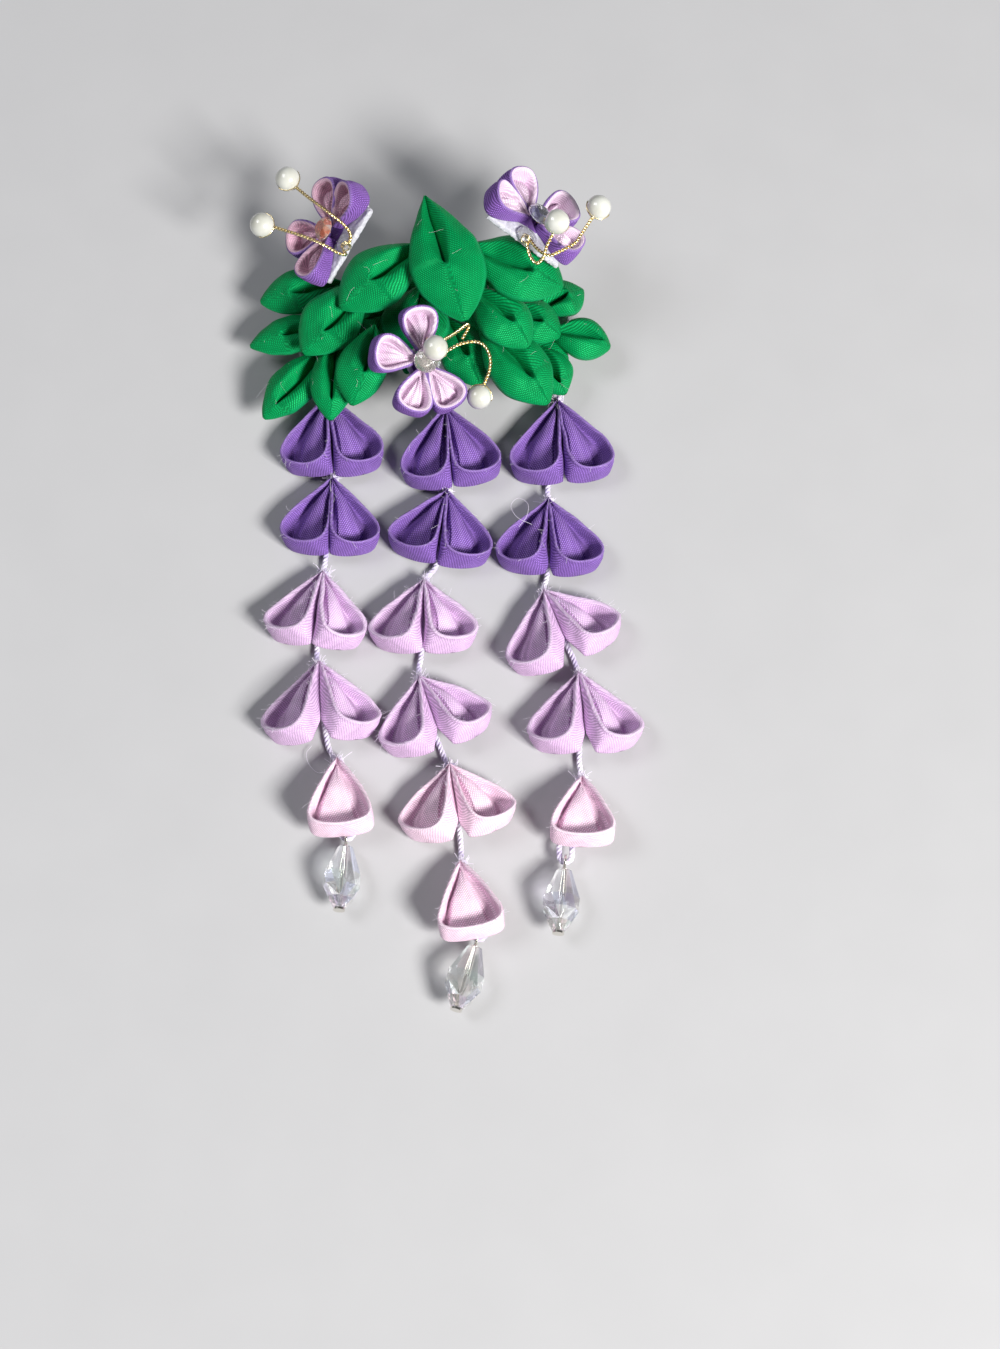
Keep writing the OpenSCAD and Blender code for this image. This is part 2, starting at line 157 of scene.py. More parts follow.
def finish_piece(piece, slot, *nodes, look=None, flat=False, angle=None):
    """Rides, replaces and shades one finished piece: smooth, flat, or smooth up to an angle."""
    select_only(piece)
    if look:
        piece.data.materials.append(look)
    if flat:
        piece.data.shade_flat()
    elif angle:
        bpy.ops.object.shade_smooth_by_angle(angle=math.radians(angle))
    else:
        piece.data.shade_smooth()
    piece.select_set(False)
    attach(piece, "root")
    if nodes:
        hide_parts(*nodes)


def apply_all(piece):
    """Applies the modifiers and the place of a piece."""
    select_only(piece)
    for modifier in list(piece.modifiers):
        bpy.ops.object.modifier_apply(modifier=modifier.name)
    bpy.ops.object.transform_apply(location=True, rotation=True, scale=True)


def close_seams(reach):
    """Joins points of the active piece that are as close as this, in metres, and turns its faces outwards."""
    bpy.ops.object.mode_set(mode="EDIT")
    bpy.ops.mesh.select_all(action="SELECT")
    bpy.ops.mesh.remove_doubles(threshold=reach)
    bpy.ops.mesh.normals_make_consistent(inside=False)
    bpy.ops.object.mode_set(mode="OBJECT")


def remap(tree, value, *ranges):
    """Takes a value from one range to another: from low, from high, to low, to high."""
    return add_node(tree, "ShaderNodeMapRange", dict(enumerate((value, *ranges)))).outputs["Result"]


def roughen_by(finish, value, low, high):
    """The roughness runs from low to high with a value between 0 and 1."""
    feed(finish, Roughness=remap(finish.node_tree, value, 0, 1, low, high))


def raise_by(finish, value, strength, depth):
    """A bump of this depth, in millimetres, follows a value."""
    links = {"Height": value, "Strength": strength, "Distance": depth * MM}
    feed(finish, Normal=add_node(finish.node_tree, "ShaderNodeBump", links).outputs["Normal"])


clip_length, strip_w, strip_t, strip_gap, mouth_step = (size * MM for size in (52, 9, 0.8, 1.8, 1.5))
bend = strip_t + strip_gap / 2
bend_x = -clip_length / 2 + bend
# the middle of the lower leg, a half turn at its left end, and the upper leg, which is shorter at the mouth
bpy.ops.mesh.primitive_plane_add(size=1)
clip = bpy.context.object
clip.name = "steel_clip"
for corner in clip.data.vertices:
    corner.co = (clip_length / 2 if corner.co.x > 0 else bend_x, corner.co.y * strip_w, strip_t / 2)
bpy.ops.object.mode_set(mode="EDIT")
bpy.ops.mesh.select_mode(type="EDGE")
bpy.ops.mesh.select_all(action="DESELECT")
bpy.ops.object.mode_set(mode="OBJECT")
for edge in clip.data.edges:
    edge.select = all(clip.data.vertices[i].co.x < 0 for i in edge.vertices)
bpy.ops.object.mode_set(mode="EDIT")
bpy.ops.mesh.spin(steps=10, angle=math.pi, center=(bend_x, 0, bend), axis=(0, 1, 0))
upper_leg = clip_length - bend - mouth_step
bpy.ops.mesh.extrude_region_move(TRANSFORM_OT_translate={"value": (upper_leg, 0, 0)})
bpy.ops.object.mode_set(mode="OBJECT")
close_seams(1e-6)
wall = clip.modifiers.new("wall", "SOLIDIFY")
wall.thickness = strip_t
wall.offset = 0
rounding = clip.modifiers.new("edge", "BEVEL")
rounding.width = 0.18 * MM
rounding.segments = 3
rounding.limit_method = "ANGLE"
apply_all(clip)
steel = new_finish("brushed steel", (0.72, 0.73, 0.75), 0.3, Metallic=1)
brushed = noise_on(steel, 1, 3, stretch=(40, 9000, 3000))
roughen_by(steel, brushed, 0.2, 0.42)
raise_by(steel, brushed, 0.15, 0.02)
finish_piece(clip, "steel_strip", "clip", look=steel, angle=40)


# Felt base
# White wool felt, cut by hand with a lobe over the top of each strand. The leaves and cords are
# glued to it, so only its edges show. Its own solid gives the outline.
def calc(tree, operation, *terms, kind="Math", **settings):
    """The result of a math node, or of a vector math node. Its terms are sockets or plain values."""
    node = add_node(tree, "ShaderNode" + kind, dict(enumerate(terms)), operation=operation, **settings)
    return node.outputs[0]


felt_finish = new_finish("white felt", (0.78, 0.78, 0.82), 0.95, Sheen_Weight=0.4)
fibres = noise_on(felt_finish, 1800, 6, roughness=0.7)
clumps = noise_on(felt_finish, 420, 3)
tint_by(felt_finish, fibres, (0.3, (0.42, 0.42, 0.48)), (0.62, (0.70, 0.70, 0.76)))
raise_by(felt_finish, calc(felt_finish.node_tree, "ADD", fibres, clumps), 0.9, 0.25)


def soft_noise(points, seed, size):
    """Smooth bumps between -1 and 1 at these points, the same each run. Size is their spacing."""
    numbers = np.random.default_rng(seed)
    total = np.zeros(len(points))
    for _ in range(5):
        way = numbers.normal(size=3)
        way *= 2 * math.pi / (size * (0.7 + 0.7 * numbers.random()) * np.linalg.norm(way))
        total += np.sin(points @ way + 2 * math.pi * numbers.random())
    return total / 3


def get_points(mesh):
    flat = np.empty(len(mesh.vertices) * 3)
    mesh.vertices.foreach_get("co", flat)
    return flat.reshape(-1, 3)


def set_points(mesh, points):
    mesh.vertices.foreach_set("co", np.ascontiguousarray(points).ravel())
    mesh.update()


felt_voxel = 0.36 * MM


def soften_felt(piece, seed, fray):
    """Gives a flat felt cut-out more points, and an edge that is a little uneven. Fray is in metres."""
    select_only(piece)
    close_seams(1e-6)
    remesh = piece.modifiers.new("fill", "REMESH")
    remesh.mode = "VOXEL"
    remesh.voxel_size = felt_voxel
    calm = piece.modifiers.new("calm", "SMOOTH")
    calm.iterations = 2
    apply_all(piece)
    points = get_points(piece.data)
    wave = np.stack([soft_noise(points, seed + i, 1.4 * MM) for i in range(3)], axis=1)
    set_points(piece.data, points + wave * np.array([fray, fray, 0.35 * fray]))


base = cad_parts["base"].copy()
base.data = base.data.copy()
base.name = "felt_base"
bpy.context.scene.collection.objects.link(base)
base.parent = None
soften_felt(base, 3, 0.12 * MM)
base.data.materials.clear()
finish_piece(base, "white_felt", "base", look=felt_finish)

# Leaves
# Each leaf is one square of plain woven cotton, folded to two puffed lobes with a crease between
# them that ends in a deep dimple, and glued by its root. Seventeen lie in layers, one on top.
def scaled(tree, vector, size):
    """A vector's socket times a number or another socket."""
    node = add_node(tree, "ShaderNodeVectorMath", {0: vector, "Scale": size}, operation="SCALE")
    return node.outputs["Vector"]


def mixed(tree, share, first, second):
    """A colour between two, at this share of the second one."""
    links = {"Factor": share, "A": first, "B": second}
    return add_node(tree, "ShaderNodeMix", links, data_type="RGBA").outputs["Result"]


weave = bpy.data.node_groups.new("woven cotton", "ShaderNodeTree")
for in_out, kind, labels in (
    ("INPUT", "Float", ("Pitch", "Polish")), ("INPUT", "Color", ("Thread", "Gap", "Lint and Highlight")),
    ("OUTPUT", "Color", ("Color",)), ("OUTPUT", "Float", ("Height", "Roughness")),
):
    for label in labels:
        weave.interface.new_socket(label, in_out=in_out, socket_type="NodeSocket" + kind)
given = weave.nodes.new("NodeGroupInput").outputs
result = weave.nodes.new("NodeGroupOutput").inputs
cloth_uv = add_node(weave, "ShaderNodeTexCoord").outputs["UV"]
# the threads wander a little
wobble = noise_at(weave, cloth_uv, 0.5, 2)["Color"]
drift = scaled(weave, calc(weave, "SUBTRACT", wobble, (0.5, 0.5, 0.5), kind="VectorMath"), 0.3)
threads = scaled(weave, calc(weave, "ADD", cloth_uv, drift, kind="VectorMath"), given["Pitch"])
axes = add_node(weave, "ShaderNodeSeparateXYZ", {"Vector": threads}).outputs
# the ribs of the twill run slanting, and each rib is a row of short floats, half a float on from the last row
rib_place = calc(weave, "ADD", axes["X"], axes["Y"])
row = calc(weave, "FLOOR", rib_place)
float_place = calc(weave, "MULTIPLY_ADD", row, 0.5, calc(weave, "SUBTRACT", axes["X"], axes["Y"]))
rib, bead = (calc(weave, "ABSOLUTE", calc(weave, "SINE", calc(weave, "MULTIPLY", place, math.pi)))
             for place in (rib_place, float_place))
height = calc(weave, "MULTIPLY", calc(weave, "POWER", rib, 0.6), calc(weave, "MULTIPLY_ADD", bead, 0.6, 0.4))
fuzz = noise_at(weave, cloth_uv, 7, 5, 0.7)["Fac"]
weave.links.new(calc(weave, "MULTIPLY_ADD", fuzz, 0.5, height), result["Height"])
# the gaps between the threads are darker, painted shade; high threads are lighter, the highest ones get a
# painted highlight, and the dye is blotchy
body = mixed(weave, remap(weave, height, 0.2, 0.9, 0, 1), given["Gap"], given["Thread"])
painted_sparkle = remap(weave, height, 0.78, 1, 1, 2.1)
blotch = remap(weave, noise_at(weave, cloth_uv, 0.28, 4, 0.6)["Fac"], 0.3, 0.7, 0.84, 1.14)
toned = scaled(weave, body, calc(weave, "MULTIPLY", blotch, painted_sparkle))
# lint catches on the folds, and the same lighter colour paints a highlight along the fold edges
fold = add_node(weave, "ShaderNodeAttribute", attribute_name="fold").outputs["Fac"]
lint = calc(weave, "MULTIPLY", calc(weave, "MULTIPLY", fold, fuzz), 1.15, use_clamp=True)
weave.links.new(mixed(weave, lint, toned, given["Lint and Highlight"]), result["Color"])
weave.links.new(remap(weave, height, 0, 1, 0.85, given["Polish"]), result["Roughness"])


# a cloth's gap colour is painted shade between its threads, and its highest threads get a painted highlight
def cloth(name, thread, gap, lint_and_highlight, pitch=2.0, relief=0.08, sheen=0.25, gloss=0.25, polish=0.45):
    """Twill cotton in one colour. Pitch is its ribs to a millimetre, relief is in millimetres."""
    own_tint = (*(min(1, 0.08 + 0.95 * part / max(thread)) for part in thread), 1)
    finish = new_finish(name, thread, 0.7, Sheen_Weight=sheen, Sheen_Roughness=0.4, Sheen_Tint=own_tint,
                        Specular_IOR_Level=gloss, Specular_Tint=own_tint)
    # its lint colour goes on the folds, partly lint and partly a painted highlight
    links = {"Pitch": pitch, "Polish": polish, "Thread": (*thread, 1), "Gap": (*gap, 1), "Lint and Highlight": (*lint_and_highlight, 1)}
    cotton = add_node(finish.node_tree, "ShaderNodeGroup", links, node_tree=weave)
    feed(finish, Base_Color=cotton.outputs["Color"], Roughness=cotton.outputs["Roughness"])
    raise_by(finish, cotton.outputs["Height"], 0.8, relief)
    return finish


def distance(points, axis=0):
    """How far each point lies along its row of points."""
    steps = np.linalg.norm(np.diff(points, axis=axis), axis=-1)
    return np.concatenate([0 * steps.take([0], axis), np.cumsum(steps, axis)], axis)


# each sheet is cut from another place of the weave, this many millimetres on
weave_shift = 17.3


def fold_cloth(name, around, rows, shape, seed, centre=0.5, flat_from=2, inner_from=None):
    """Adds a flat sheet of cloth and folds it: shape(u, v) gives each point's place in millimetres, how much
    of a fold it lies on, where lint and a painted highlight go, and its place across and along the piece. The
    cloth's UV map is in millimetres: measured along the folded sheet, across from the share centre, and from
    the row flat_from on taken from that last place. Its open seams are closed. From the row inner_from on,
    the sheet takes the piece's second cloth."""
    bpy.ops.mesh.primitive_grid_add(x_subdivisions=around, y_subdivisions=rows, size=2)
    piece = bpy.context.object
    piece.name = name
    mesh = piece.data
    u, v = (get_points(mesh)[:, :2].T + 1) / 2
    points, fold_share, plan = shape(u, v)
    order = np.lexsort((u.round(5), v.round(5)))
    sheet = points[order].reshape(rows + 1, around + 1, 3)
    across, down = distance(sheet, 1), distance(sheet, 0)
    across -= across[:, [round(centre * around)]]
    flat = np.empty((len(u), 2))
    flat[order] = np.stack([across, down], axis=2).reshape(-1, 2)
    flat = np.where((v > flat_from)[:, None], plan, flat) + weave_shift * seed
    corners = np.empty(len(mesh.loops), dtype=int)
    mesh.loops.foreach_get("vertex_index", corners)
    mesh.uv_layers.active.data.foreach_set("uv", flat[corners].ravel())
    mark = mesh.attributes.new("fold", "FLOAT", "POINT")
    mark.data.foreach_set("value", fold_share)
    if inner_from is not None:
        inner = [int(v[face.vertices[0]] >= inner_from - 1e-6) for face in mesh.polygons]
        mesh.polygons.foreach_set("material_index", inner)
    set_points(mesh, points * MM)
    close_seams(8e-6)
    return piece


def unit(vector):
    return vector / np.linalg.norm(vector, axis=-1, keepdims=True)


def join(pieces, name=None):
    """Makes one piece of these, under this name or else the first one's."""
    select_only(*pieces)
    bpy.ops.object.join()
    pieces[0].name = name or pieces[0].name
    return pieces[0]


# name, root, tip, width, share of thickness, where the crease ends, how far the crease lies to one side
LEAVES = [
    ("left_far_low", (-17, -2, 7.2), (-37, -6.5, 5.8), 8.5, 0.8, 0.62, 0.0),
    ("left_far_high", (-17, 7, 8.2), (-35, 3, 7), 10, 0.88, 0.6, 0.1),
    ("left_corner", (-19.5, -7, 7.2), (-33.5, -23, 5.9), 9.5, 0.88, 0.8, 0.1),
    ("left_down", (-18.5, -4.5, 9.4), (-19.5, -25, 9.4), 9.5, 0.88, 0.78, 0.0),
    ("centre", (-1, 6, 9.9), (-3.5, -10, 8.9), 14.5, 0.92, 0.6, 0.0),
    ("centre_low", (4, -0.5, 7.4), (11, -16, 6.4), 10.5, 0.92, 0.6, 0.0),
    ("right_far_high", (22.5, 0.5, 7), (32.5, 6.5, 6), 9, 0.88, 0.6, 0.0),
    ("right_far_low", (24.5, -4, 7.4), (38, -7, 6.4), 9.5, 0.88, 0.84, 0.15),
    ("right_corner", (21.5, -6.5, 7), (28.5, -17.5, 5.9), 9, 0.88, 0.8, 0.0),
    ("left_middle", (-12, 4.5, 13.9), (-25.2, -11.4, 11.9), 12.5, 0.92, 0.68, 0.15),
    ("left_inner", (-10.5, -5.5, 14.3), (-15, -23, 12.3), 10.5, 0.92, 0.6, 0.2),
    ("right_inner", (16, 0, 11.2), (27.5, -6, 9.2), 9.5, 0.88, 0.62, 0.0),
    ("right_down", (10.5, -3.5, 11.7), (25, -21.5, 9.7), 12.8, 1, 0.72, 0.1),
    ("left_over", (-0.5, 10.5, 18.6), (-17.5, -3.5, 16.6), 13.5, 1, 0.6, 0.05),
    ("right_middle", (9, 2, 15.9), (21, -11, 14.5), 11, 0.92, 0.66, 0.15),
    ("right_over", (7.5, 9.5, 19.4), (28, 1, 16.9), 14.5, 1, 0.66, 0.0),
    ("crown", (-0.5, 20, 21.6), (8, -8.5, 20.6), 15.5, 1, 0.56, -0.05),
]
leaf_thick, leaf_bow = 4.8, 0.8
# the crease's valley and the slit in it, as shares of a leaf: half widths, depths, and the dimple's length
valley_root_w, valley_end_w, valley_deep, slit_w, slit_deep, dimple_run = 0.65, 0.13, 0.56, 0.05, 0.28, 0.07
leaf_green = cloth("green cotton", (0, 0.25, 0.07), (0, 0.09, 0.022), (0.01, 0.36, 0.14),
                   pitch=1.75, sheen=0.02, gloss=0.9, polish=0.36)
# the share of the sheet's width that makes the top of a leaf, and the line at its middle
leaf_top, leaf_centre = 0.72, 0.36


def leaf_shape(root, tip, width, share, crease_end, crease_side, seed):
    """Shape of one folded leaf. Its sheet runs over the top from side to side and back underneath."""
    root, tip = np.array(root, float), np.array(tip, float)
    length = np.linalg.norm(tip - root)
    along = unit(tip - root)
    across = unit(np.cross((0, 0, 1), along))
    out = np.cross(along, across)

    def shape(u, v):
        v = 0.012 + 0.976 * (0.5 - 0.5 * np.cos(np.pi * v)) * 0.35 + 0.976 * 0.65 * v
        on_top = u < leaf_top
        q = np.where(on_top, 1 - 2 * u / leaf_top, 2 * (u - leaf_top) / (1 - leaf_top) - 1)
        s = np.where(on_top, q * np.abs(q) ** 0.55, q)
        half = width / 2 * np.sin(np.pi * v ** 1.25) ** 0.8
        thick = leaf_thick * share * np.sin(np.pi * v ** 1.1) ** 0.6
        off = np.abs(s - crease_side)
        # the two lobes roll down to a thin slit between them, which ends all at once in the dimple
        down_crease = np.clip(v / crease_end, 0, 1)
        valley_w = valley_end_w + (valley_root_w - valley_end_w) * (1 - down_crease ** 2)
        valley = np.clip(1 - off / valley_w, 0, 1) ** 1.8
        slit = np.exp(-((off / slit_w) ** 2)) * (0.5 + 0.5 * down_crease)
        still = np.clip((crease_end - v) / dimple_run + 0.5, 0, 1)
        deep = still * still * (3 - 2 * still)
        plump = 0.5 * np.clip(1 - np.abs(s) ** 2.8, 0, 1) ** 0.5
        pointed = 0.5 * np.clip(1 - s * s, 0, 1) ** 0.8
        beyond = np.clip((v - crease_end) / 0.16, 0, 1)
        puff = plump * (1 - beyond) + pointed * beyond
        ridge = 0.08 * deep * np.exp(-(((off - 0.5) / 0.2) ** 2))
        cut = deep * (valley_deep * valley + slit_deep * slit)
        pinch = 0.1 * np.exp(-((v - crease_end - 0.05) / 0.05) ** 2 - (off / 0.3) ** 2)
        under = -0.42 * np.clip(1 - np.abs(s) ** 3, 0, 1) ** 0.7
        rise = np.where(on_top, puff + ridge + pinch - cut, under)
        bow = leaf_bow * np.sin(np.pi * v)
        points = root + np.outer(length * v, along) + np.outer(half * s, across)
        points = points + np.outer(thick * rise + bow, out)
        near_tip = np.sin(np.pi * v) ** 0.5
        points = points + np.outer(soft_noise(points, seed, 7) * 0.2 * near_tip, out)
        points = points + np.outer(soft_noise(points, seed + 50, 5) * 0.15 * near_tip, across)
        # the leaf's edges and the lips of its slit are marked for lint and a painted highlight
        edge_fold = np.where(np.abs(s) > 0.93, 0.6, 0) + 0.5 * deep * np.exp(-off / slit_w)
        return points, np.clip(edge_fold, 0, 1), np.stack([s * half, length * v], axis=1)

    return shape


for i, (name, *sizes) in enumerate(LEAVES):
    leaf = fold_cloth("cloth_leaf_" + name, 72, 60, leaf_shape(*sizes, seed=i), i, centre=leaf_centre)
    finish_piece(leaf, "leaf_cloth", "leaf_" + name, look=leaf_green)

# The pinched tails of the leaves, glued flat on the felt between their roots; their green cloth also fills
# the gaps there as painted shade: root, tip and width
TAILS_FILLING_SHADE = [
    ((-4, 2, 6.3), (-17, -2, 6.1), 8), ((-3, -2, 6.2), (-13.5, -9, 6.2), 7), ((-7, 5, 6.3), (-19, 5, 6.2), 6),
    ((0, -2, 6.2), (-4.5, -13, 6.2), 7), ((7, -4, 6.2), (6, -13, 6.1), 6), ((12, 2, 6.2), (21, 4, 6.1), 6),
    ((11, -1, 6.2), (28, -6, 6.1), 9), ((3, 4, 6.3), (13, 4, 6.2), 7), ((8, 1, 6.2), (14, -9, 6.1), 8),
    ((20, -5, 6.2), (29, -12, 6.1), 8), ((-14, -2, 6.2), (-23, -12, 6.1), 8),
    ((12.5, 11, 7), (11, -6, 6.4), 9), ((-6, 11, 6.6), (-1, 0, 6.3), 9),
]
tails_filling_shade = []
for i, (root, tip, width) in enumerate(TAILS_FILLING_SHADE):
    shape = leaf_shape(root, tip, width, share=0.42, crease_end=0.7, crease_side=0, seed=60 + i)
    tails_filling_shade.append(fold_cloth("tail", 48, 30, shape, i, centre=leaf_centre))
tails_filling_shade = join(tails_filling_shade, "cloth_tails_filling_shade")
finish_piece(tails_filling_shade, "leaf_cloth", look=leaf_green)


# Cords
# Three thin plied cords in lavender and white. Each runs from under the felt base, behind its
# florets, down to a loop in the eye of its drop's pin.
def through(a, b, c, d, t):
    """A place on the smooth curve through four points, at the share t of the way from b to c."""
    bent = (2 * a - 5 * b + 4 * c - d) * t ** 2 + (3 * b - a - 3 * c + d) * t ** 3
    return 0.5 * (2 * b + (c - a) * t + bent)


def smooth_path(points, step):
    """Even points on a smooth curve through these ones."""
    points = np.array(points, float)
    ends = np.concatenate([2 * points[:1] - points[1:2], points, 2 * points[-1:] - points[-2:-1]])
    t = np.linspace(0, 1, 16, endpoint=False)[:, None]
    dense = [through(*stretch, t) for stretch in zip(ends, ends[1:], ends[2:], ends[3:])]
    dense = np.concatenate(dense + [points[-1:]])
    reach = distance(dense)
    stops = np.linspace(0, reach[-1], max(2, int(reach[-1] / step) + 1))
    return np.stack([np.interp(stops, reach, dense[:, i]) for i in range(3)], axis=1)


def plies(path, count, offset, pitch):
    """The paths of strands twisted round a path of even points."""
    way = unit(np.gradient(path, axis=0))
    side = np.zeros_like(path)
    side[0] = unit(np.cross(way[0], (0.3, 0.2, 1)))
    for i in range(1, len(path)):
        side[i] = unit(side[i - 1] - way[i] * (side[i - 1] @ way[i]))
    other = np.cross(way, side)
    reach = distance(path)
    made = []
    for k in range(count):
        turn = 2 * math.pi * (reach / pitch + k / count)[:, None]
        made.append(path + offset * (np.cos(turn) * side + np.sin(turn) * other))
    return made


def round_bars(name, paths, radius, finish, sides=1):
    """Makes one mesh of round bars along these paths, in millimetres. Sides 0 gives four sides."""
    bars = bpy.data.curves.new(name, "CURVE")
    bars.dimensions = "3D"
    bars.bevel_depth = radius * MM
    bars.bevel_resolution = sides
    bars.use_fill_caps = True
    for path in paths:
        line = bars.splines.new("POLY")
        line.points.add(len(path) - 1)
        line.points.foreach_set("co", np.c_[path * MM, np.ones(len(path))].ravel())
    piece = bpy.data.objects.new(name, bars)
    bpy.context.scene.collection.objects.link(piece)
    select_only(piece)
    bpy.ops.object.convert(target="MESH")
    piece.data.shade_smooth()
    piece.data.materials.append(finish)
    return piece


cord_finish = new_finish("plied cord", (0.62, 0.52, 0.78), 0.75, Sheen_Weight=0.5)
tint_by(cord_finish, noise_on(cord_finish, 500, 2), (0.36, (0.56, 0.49, 0.72)), (0.64, (0.86, 0.82, 0.92)))
raise_by(cord_finish, noise_on(cord_finish, 2600, 4), 0.7, 0.08)

# points on the middle line of each cord, in millimetres, at the height of a resting cord if they name none
cord_rest = 0.7
CORDS = {
    "left": [
        (-20.3, -5.8, 2.5), (-20.6, -9.5, 2.4), (-20.8, -12.6, 1.7), (-20.8, -16, 0.8), (-20.3, -24),
        (-19.3, -33), (-19.6, -42), (-20.4, -51), (-20.7, -54.6), (-21.3, -63), (-21.7, -71.5),
        (-21.3, -74.8), (-20.4, -82), (-19, -91), (-17.1, -94.6), (-16.4, -100), (-16.3, -105, 1),
    ],
    "middle": [
        (3.6, -5.8, 2.5), (3.7, -9.5, 2.4), (3.7, -14, 1.6), (3.8, -18.2, 0.8), (3.9, -27), (4.1, -36),
        (3.4, -45), (2, -53), (0, -56.2), (-0.5, -64), (-0.8, -72), (-1.2, -77), (0.8, -85), (3.8, -93),
        (5.4, -97), (6.4, -103), (7.3, -110.5), (7.5, -115), (8.3, -120.5), (8.9, -125, 1),
    ],
    "right": [
        (23.6, -5.8, 2.5), (24.6, -9.5, 2.3), (25.8, -12.6, 1.6), (26.8, -17, 0.8), (26.2, -26),
        (24.8, -36), (25, -39.6), (24.8, -47), (24.5, -55), (23.9, -59.2), (26.6, -66), (29.8, -73.3),
        (30.5, -77), (31.1, -85), (30.6, -93.5), (30.9, -98), (29.8, -104), (28.4, -109.5, 1),
    ],
}
# the loop through the eye of a pin, from the eye's middle
LOOP = [
    (-1.3, 3.6, -0.5), (-1.2, 1, 0), (-0.7, 0.1, 0), (0, -0.12, 0), (0.7, 0.1, 0), (1.2, 1, 0), (1.1, 3, 0),
]
eye_height = 2.6
# the cord's three plies: radius of each, how far off the middle line it lies, and length of a full twist
ply_r, ply_off, ply_twist = 0.31, 0.3, 2.6
# side, eye of the pin x and y, turn of the drop from straight down
DROPS = [("left", -14.8, -110.3, -4), ("middle", 10.7, -130, -16), ("right", 27.6, -114.9, -6)]
for side, x, y, turn in DROPS:
    c, s = math.cos(math.radians(turn)), math.sin(math.radians(turn))
    bight = [(x + a * c - b * s, y + a * s + b * c, eye_height + h) for a, b, h in LOOP]
    laid = [(*point, cord_rest)[:3] for point in CORDS[side]]
    middle_line = smooth_path(laid + bight, 0.22)
    cord = round_bars("plied_cord_" + side, plies(middle_line, 3, ply_off, ply_twist), ply_r, cord_finish)
    finish_piece(cord, "cord", "cord_" + side)


# Florets
# Each petal is a square of cotton folded to a cup: a thin double wall round a teardrop, and the
# inner fold lying in it as a tongue. A pair leans apart over the cord, the last petal hangs alone.
def turn_about(axis, degrees):
    """The matrix of a turn about an axis."""
    c, s = math.cos(math.radians(degrees)), math.sin(math.radians(degrees))
    turns = {
        "X": [[1, 0, 0], [0, c, -s], [0, s, c]],
        "Y": [[c, 0, s], [0, 1, 0], [-s, 0, c]],
        "Z": [[c, -s, 0], [s, c, 0], [0, 0, 1]],
    }
    return np.array(turns[axis])


def tear(t, plump, blunt=6):
    """Half width of the teardrop at this share of its length. A higher blunt gives a squarer end."""
    x = np.linspace(0, 1, 200)
    return t ** plump * np.sqrt(np.clip(1 - t ** blunt, 0, 1)) / (x ** plump * np.sqrt(1 - x ** blunt)).max()


# a petal's height at its root and the arch of its tongue, as shares of its height at the far end, and how far
# its wall bulges, in millimetres
root_share, tongue_arch, wall_bulge = 0.36, 0.28, 0.22


